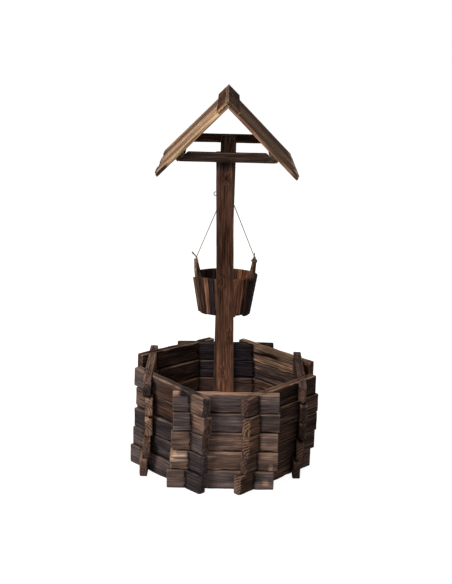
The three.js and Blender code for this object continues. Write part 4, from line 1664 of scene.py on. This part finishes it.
@dataclass
class Twine:
    """Three-ply jute: through the left ear, up over its tip, over the bar, and the same again at the right."""

    bar: Vec = (-6.6 * MM, 0.0, 813.83 * MM)
    bar_radius: float = 11 * MM
    radius: float = 1.4 * MM
    bar_gap: float = 0.6 * MM
    slew: float = 4 * MM
    left_hole: Vec = (-94.157 * MM, 45.165 * MM, 607.634 * MM)
    right_hole: Vec = (77.881 * MM, -52.673 * MM, 636.219 * MM)
    ear_thickness: float = 8.6 * MM
    ear_half_width: float = 5.5 * MM
    hole_drop: float = 11 * MM
    inset: float = 2.6 * MM
    knot_rise: float = 3.6 * MM
    knot_inset: float = 3.2 * MM
    stub: float = 2.5 * MM
    lay: float = 6 * MM

    PLY_OFFSET = 0.4
    PLY_RADIUS = 0.62
    HUG = 1.05

    def strand(
        self, path: np.ndarray, reference: np.ndarray, loosens: bool = False, tone: Tone = Tone.JUTE, girth: float = 1.0
    ) -> Solid:
        """Three plies that turn about a path: offset (cos a n + sin a b), a third of a turn apart.

        Args:
            path: The path's points, evenly spaced.
            reference: A direction that the path never follows.
            loosens: Whether the last part comes apart, as a cut end does.
            tone: Its colour.
            girth: Its thickness as a share of the twine's.

        Returns:
            The plies' closed surfaces.
        """
        lengths = lengths_along(path)
        first, second = square_to(path, reference)
        angle = 2 * math.pi * lengths / self.lay
        loose = ease(lengths, 0.6 * lengths[-1], lengths[-1]) if loosens else np.zeros(len(path))
        offset = self.PLY_OFFSET * girth * self.radius * (1 + 1.8 * loose)
        radii = self.PLY_RADIUS * girth * self.radius * (1 - 0.4 * loose)
        plies = []
        for start in 2 * math.pi / 3 * np.arange(3):
            swing = np.cos(angle + start)[:, None] * first + np.sin(angle + start)[:, None] * second
            plies.append(tube(path + offset[:, None] * swing, reference, radii, 6, tone))
        return joined(plies)

    def knot(self, middle: np.ndarray, size: float) -> Solid:
        """An overhand knot drawn up tight: x = sin t + 2 sin 2t, y = cos t - 2 cos 2t, z = -sin 3t, scaled.

        Args:
            middle: Its middle.
            size: What x, y and z are scaled by.

        Returns:
            The closed surface.
        """
        turn = np.linspace(0, 2 * math.pi, 60)
        x, y, z = np.sin(turn) + 2 * np.sin(2 * turn), np.cos(turn) - 2 * np.cos(2 * turn), -1.3 * np.sin(3 * turn)
        path = middle + size * np.column_stack([x, z, y])
        return tube(path, Y_AXIS, np.full(len(path), 0.95 * self.radius), 7, Tone.HEMP)

    def lashing(self, middle: np.ndarray, axes: np.ndarray, turns: float, rise: float) -> Solid:
        """Turns laid round an ear: a rounded oblong cos|cos|^-0.5 by sin|sin|^-0.5 that climbs evenly.

        Args:
            middle: Middle of the lashing.
            axes: The ear's outward, sideways and upward directions, one a row.
            turns: How many times it goes round.
            rise: How far it climbs.

        Returns:
            The closed surface.
        """
        angle = np.linspace(0, 2 * math.pi * turns, int(48 * turns))
        cosine, sine = np.cos(angle), np.sin(angle)
        out = (self.ear_thickness / 2 + self.HUG * self.radius) * np.sign(cosine) * np.abs(cosine) ** 0.5
        side = (self.ear_half_width + self.HUG * self.radius) * np.sign(sine) * np.abs(sine) ** 0.5
        up = rise * (angle / angle[-1] - 0.5)
        path = middle + np.column_stack([out, side, up]) @ axes
        return self.strand(drawn_path(path, 0.8 * MM, 1.6 * MM), axes[2], tone=Tone.HEMP)

    def build(self) -> Iterator[bpy.types.Object]:
        """Makes the twine, its knots and its loose ends in place of its CAD node.

        Yields:
            Each piece.
        """
        hang = Bucket({}).hang()
        taper = math.atan(Bucket.taper / Bucket.height)
        hole_line = unit(np.array(self.right_hole) - np.array(self.left_hole))
        ends, extras = [], []
        for hole, side in ((np.array(self.left_hole), -1), (np.array(self.right_hole), 1)):
            turn = math.pi + Bucket.ear_lead if side < 0 else -Bucket.ear_lead
            lean = np.array(Matrix.Rotation(turn, 3, "Z") @ Matrix.Rotation(taper, 3, "Y"))
            out, across, up = (hang @ lean).T
            inner = hole - (self.ear_thickness / 2 + self.inset) * out
            top = hole - self.knot_inset * out + (self.hole_drop + self.knot_rise) * up
            stub = hole + side * (self.ear_thickness / 2 + self.stub) * hole_line
            ends.append([stub, hole, inner, inner + (self.hole_drop + self.inset) / 2 * up, top])
            if side < 0:
                girth, steps = 1.5, ((0, 0, 0), (-3, -1, 4), (-7, -3, 9), (-13, -4, 15))
                extras.append(self.knot(top + [0.4 * MM, 0, -1.2 * MM], 0.62 * MM))
            else:
                girth, steps = 1.0, ((0, 0, 0), (0.5, -1, 5), (0.2, -2, 12))
                extras.append(self.knot(top - 2 * MM * up + 1.5 * MM * out, 0.85 * MM))
                extras.append(self.knot(hole + 5.5 * MM * up - 4.5 * MM * across + 5 * MM * out, 1.0 * MM))
                extras.append(self.knot(hole + 3 * MM * up - 5 * MM * across - 4.5 * MM * out, 0.95 * MM))
                extras.append(self.lashing(hole + 3 * MM * up, np.array([out, across, up]), 3.0, 7 * MM))
            tail = drawn_path(top + np.array(steps) * MM, 0.7 * MM, 2 * MM)
            extras.append(self.strand(tail, np.array([0.3, 1.0, 0.0]), True, Tone.HEMP, girth))
        share = np.linspace(0, 1, 13)
        angle = math.pi * (1 - share)
        wrap = self.bar_radius + self.radius + self.bar_gap
        over = np.column_stack([wrap * np.cos(angle), self.slew * (1 - 2 * share), wrap * np.sin(angle)])
        route = [*ends[0], *(over + self.bar), *ends[1][::-1]]
        main_strand = self.strand(drawn_path(route, 0.8 * MM, 2.4 * MM), Y_AXIS)
        finish = TwineFinish().material()
        yield stand_in("jute_twine", joined([main_strand, *extras]), finish, "twine", "twine", "twine")


@dataclass
class Fixings:
    """The wire staple in the post, and the screw and nail heads that show."""

    frame: dict
    wire: float = 1.1 * MM
    nail_radius: float = 1.9 * MM
    screw_radius: float = 2 * MM
    proud: float = 0.35 * MM
    sides: int = 12

    NAIL_SHARES = (0.25, 0.75)
    NAIL_STRAY = 1.5 * MM
    CAP_NAIL_DROP = 20 * MM
    SCREWS = ((-19 * MM, 4 * MM), (2 * MM, -4 * MM))

    def staple(self) -> Solid:
        """A bent wire: two legs into the post and half a circle between them.

        Returns:
            The closed surface.
        """
        low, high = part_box("post_staple")
        bow = (high.z - low.z) / 2 - self.wire
        middle = np.array([low.x + self.wire + bow, (low.y + high.y) / 2, (low.z + high.z) / 2])
        angles = np.linspace(math.pi / 2, 1.5 * math.pi, 17)
        bend = middle + bow * np.column_stack([np.cos(angles), np.zeros(17), np.sin(angles)])
        legs = [(high.x, middle[1], middle[2] + rise) for rise in (bow, -bow)]
        path = drawn_path([legs[0], *bend, legs[1]], 0.6 * MM, 0.7 * MM)
        return tube(path, Y_AXIS, np.full(len(path), self.wire), 10, Tone.STEEL)

    def heads(self, places: np.ndarray, out: np.ndarray, radius: float) -> Solid:
        """Low round heads: four rings of points, each of a share of the radius and at its own height.

        Args:
            places: Where they sit, one a row.
            out: The way that they face.
            radius: Their radius.

        Returns:
            All of them as one mesh's worth of closed surfaces.
        """
        first = unit(np.cross(out, Y_AXIS if abs(out[1]) < 0.9 else X_AXIS))
        angles = (np.arange(self.sides) * 2 * math.pi / self.sides)[:, None]
        ring = np.cos(angles) * first + np.sin(angles) * np.cross(out, first)
        rows = ((1.0, -1 * MM), (1.0, 0.4 * self.proud), (0.8, self.proud), (0.35, 1.1 * self.proud))
        rings = np.array([share * radius * ring + rise * out for share, rise in rows])
        head = ringed(rings, np.array([rows[0][1] * out, rows[-1][1] * out]), Tone.STEEL)
        return joined([replace(head, points=head.points + place) for place in places])

    def all_heads(self) -> Solid:
        """Two nails through each slat into its purlin, five in each cap board and two screws in each crossbar.

        Returns:
            All of them as one mesh's worth of closed surfaces.
        """
        roof = Roof(self.frame)
        groups = []
        for side in (-1, 1):
            down, ridge, out = roof.slope(side)
            along = np.concatenate([roof.slat_starts() + share * roof.slat_width for share in self.NAIL_SHARES])
            stray = self.NAIL_STRAY * np.sin(7 * np.arange(len(along)))
            reach = roof.purlin_foot - roof.purlin_width / 2 + stray
            places = np.array(roof.ridge) + reach[:, None] * down + along[:, None] * ridge
            groups.append(self.heads(places, out, self.nail_radius))
            spots = np.linspace(-0.42, 0.42, 5) * roof.slats * (roof.slat_width + roof.slat_gap)
            cap = np.array(roof.ridge) + self.CAP_NAIL_DROP * down + spots[:, None] * ridge
            groups.append(self.heads(cap + (roof.seat_gap + roof.cap_thickness) * out, out, self.nail_radius))
        for node, facing in (("front_crossbar", -1), ("rear_crossbar", 1)):
            low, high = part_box(node)
            y = low.y if facing < 0 else high.y
            spots = np.array([(x, y, (low.z + high.z) / 2 + rise) for x, rise in self.SCREWS])
            groups.append(self.heads(spots, facing * Y_AXIS, self.screw_radius))
        return joined(groups)

    def build(self) -> Iterator[bpy.types.Object]:
        """Makes the staple in place of its CAD node, and the heads in one piece.

        Yields:
            Each piece.
        """
        wire = SteelFinish("staple_steel").material()
        yield stand_in("staple_wire", self.staple(), wire, "post_staple", "staple")
        steel = SteelFinish("nail_steel", Tone.BARK, 0.6, 0.4).material()
        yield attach(put("nail_and_screw_heads", self.all_heads(), steel, False), "well")


@dataclass(frozen=True)
class Studio:
    """A pale floor, soft lamps and the camera."""

    camera_place: Vec = (-2.4 * MM, -3055.9 * MM, 1385.2 * MM)
    camera_pitch: float = -0.2734
    camera_roll: float = -0.0234
    lens: float = 65.58
    floor_half: float = 12.0
    floor_tone: float = 0.4
    floor_glow: float = 0.93
    room_light: float = 0.3

    TARGET = (0.0, 0.0, 0.5)
    LAMPS = (
        ("key", (-2.3, -2.4, 3.1), 1.5, 125, True),
        ("fill", (1.2, -3.4, 1.6), 2.4, 12, False),
        ("back", (0.4, 2.6, 3.0), 2.0, 16, False),
    )

    def camera(self) -> None:
        """The camera, turned by its pitch about X and then its roll about its own line of sight."""
        data = bpy.data.cameras.new("camera")
        data.sensor_width = 36
        data.lens = self.lens
        data.clip_end = 100
        camera = linked("camera", data)
        turn = Matrix.Rotation(self.camera_pitch, 4, "X") @ Matrix.Rotation(self.camera_roll, 4, "Y")
        camera.matrix_world = Matrix.Translation(self.camera_place) @ turn @ Matrix.Rotation(math.pi / 2, 4, "X")
        bpy.context.scene.camera = camera

    def floor(self) -> None:
        """A wide flat floor that the camera sees as white and that still takes the well's shadow."""
        nodes = Nodes(bpy.data.materials.new("pale_floor"))
        seen = nodes.add("LightPath").outputs
        share = nodes.math("MAXIMUM", seen["Is Camera Ray"], seen["Is Glossy Ray"])
        plain = nodes.add("BsdfDiffuse", {"Color": (self.floor_tone, self.floor_tone, self.floor_tone, 1)})
        glow = nodes.add("Emission", {"Color": WHITE, "Strength": nodes.math("MULTIPLY", share, self.floor_glow)})
        both = nodes.add("AddShader", {0: plain.outputs[0], 1: glow.outputs[0]})
        half = self.floor_half
        mesh = bpy.data.meshes.new("floor")
        mesh.from_pydata([(-half, -half, 0), (half, -half, 0), (half, half, 0), (-half, half, 0)], [], [(0, 1, 2, 3)])
        mesh.materials.append(nodes.surface(both))
        linked("floor", mesh)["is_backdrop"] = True

    def lamp(self, name: str, place: Vec, size: float, power: float, gleams: bool) -> None:
        """A square lamp aimed at the middle of the well.

        Args:
            name: Its name.
            place: Where it stands.
            size: Length of its side.
            power: Its power in watts.
            gleams: Whether glossy surfaces show it.
        """
        data = bpy.data.lights.new(name, "AREA")
        data.size = size
        data.energy = power
        back = unit(np.array(place) - self.TARGET)
        right = unit(np.cross(Z_AXIS, back))
        turn = Matrix(np.column_stack([right, np.cross(back, right), back]).tolist())
        lamp = linked(name, data)
        lamp.matrix_world = Matrix.Translation(place) @ turn.to_4x4()
        lamp.visible_glossy = gleams

    def world(self) -> None:
        """White to the camera, and a soft even light otherwise."""
        world = bpy.data.worlds.new("room")
        nodes = Nodes(world, "OutputWorld")
        light = nodes.add("Background", {0: WHITE, 1: self.room_light}).outputs[0]
        white = nodes.add("Background", {0: WHITE, 1: 1.0}).outputs[0]
        seen = nodes.add("LightPath").outputs["Is Camera Ray"]
        bpy.context.scene.world = nodes.surface(nodes.add("MixShader", {0: seen, 1: light, 2: white}))

    def build(self) -> None:
        """Sets the camera, the floor, the lamps and the world."""
        self.camera()
        self.floor()
        self.world()
        for lamp in self.LAMPS:
            self.lamp(*lamp)
        bpy.context.scene.view_settings.view_transform = "Standard"


def main() -> tuple[list[float], list[float]]:
    """Builds the well round its frame.

    Returns:
        The lowest and highest corner of the CAD model.
    """
    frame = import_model()
    low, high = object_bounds()
    Studio().build()
    for assembly in (Wall(frame), PostsAndBars(frame), Roof(frame), Bucket(frame), Twine(), Fixings(frame)):
        for piece in assembly.build():
            LOG.info("%s: %d faces", piece.name, len(piece.data.polygons))
    return list(low), list(high)


if __name__ == "__main__":
    logging.basicConfig(level=logging.INFO, format="%(message)s")
    cad_box = main()
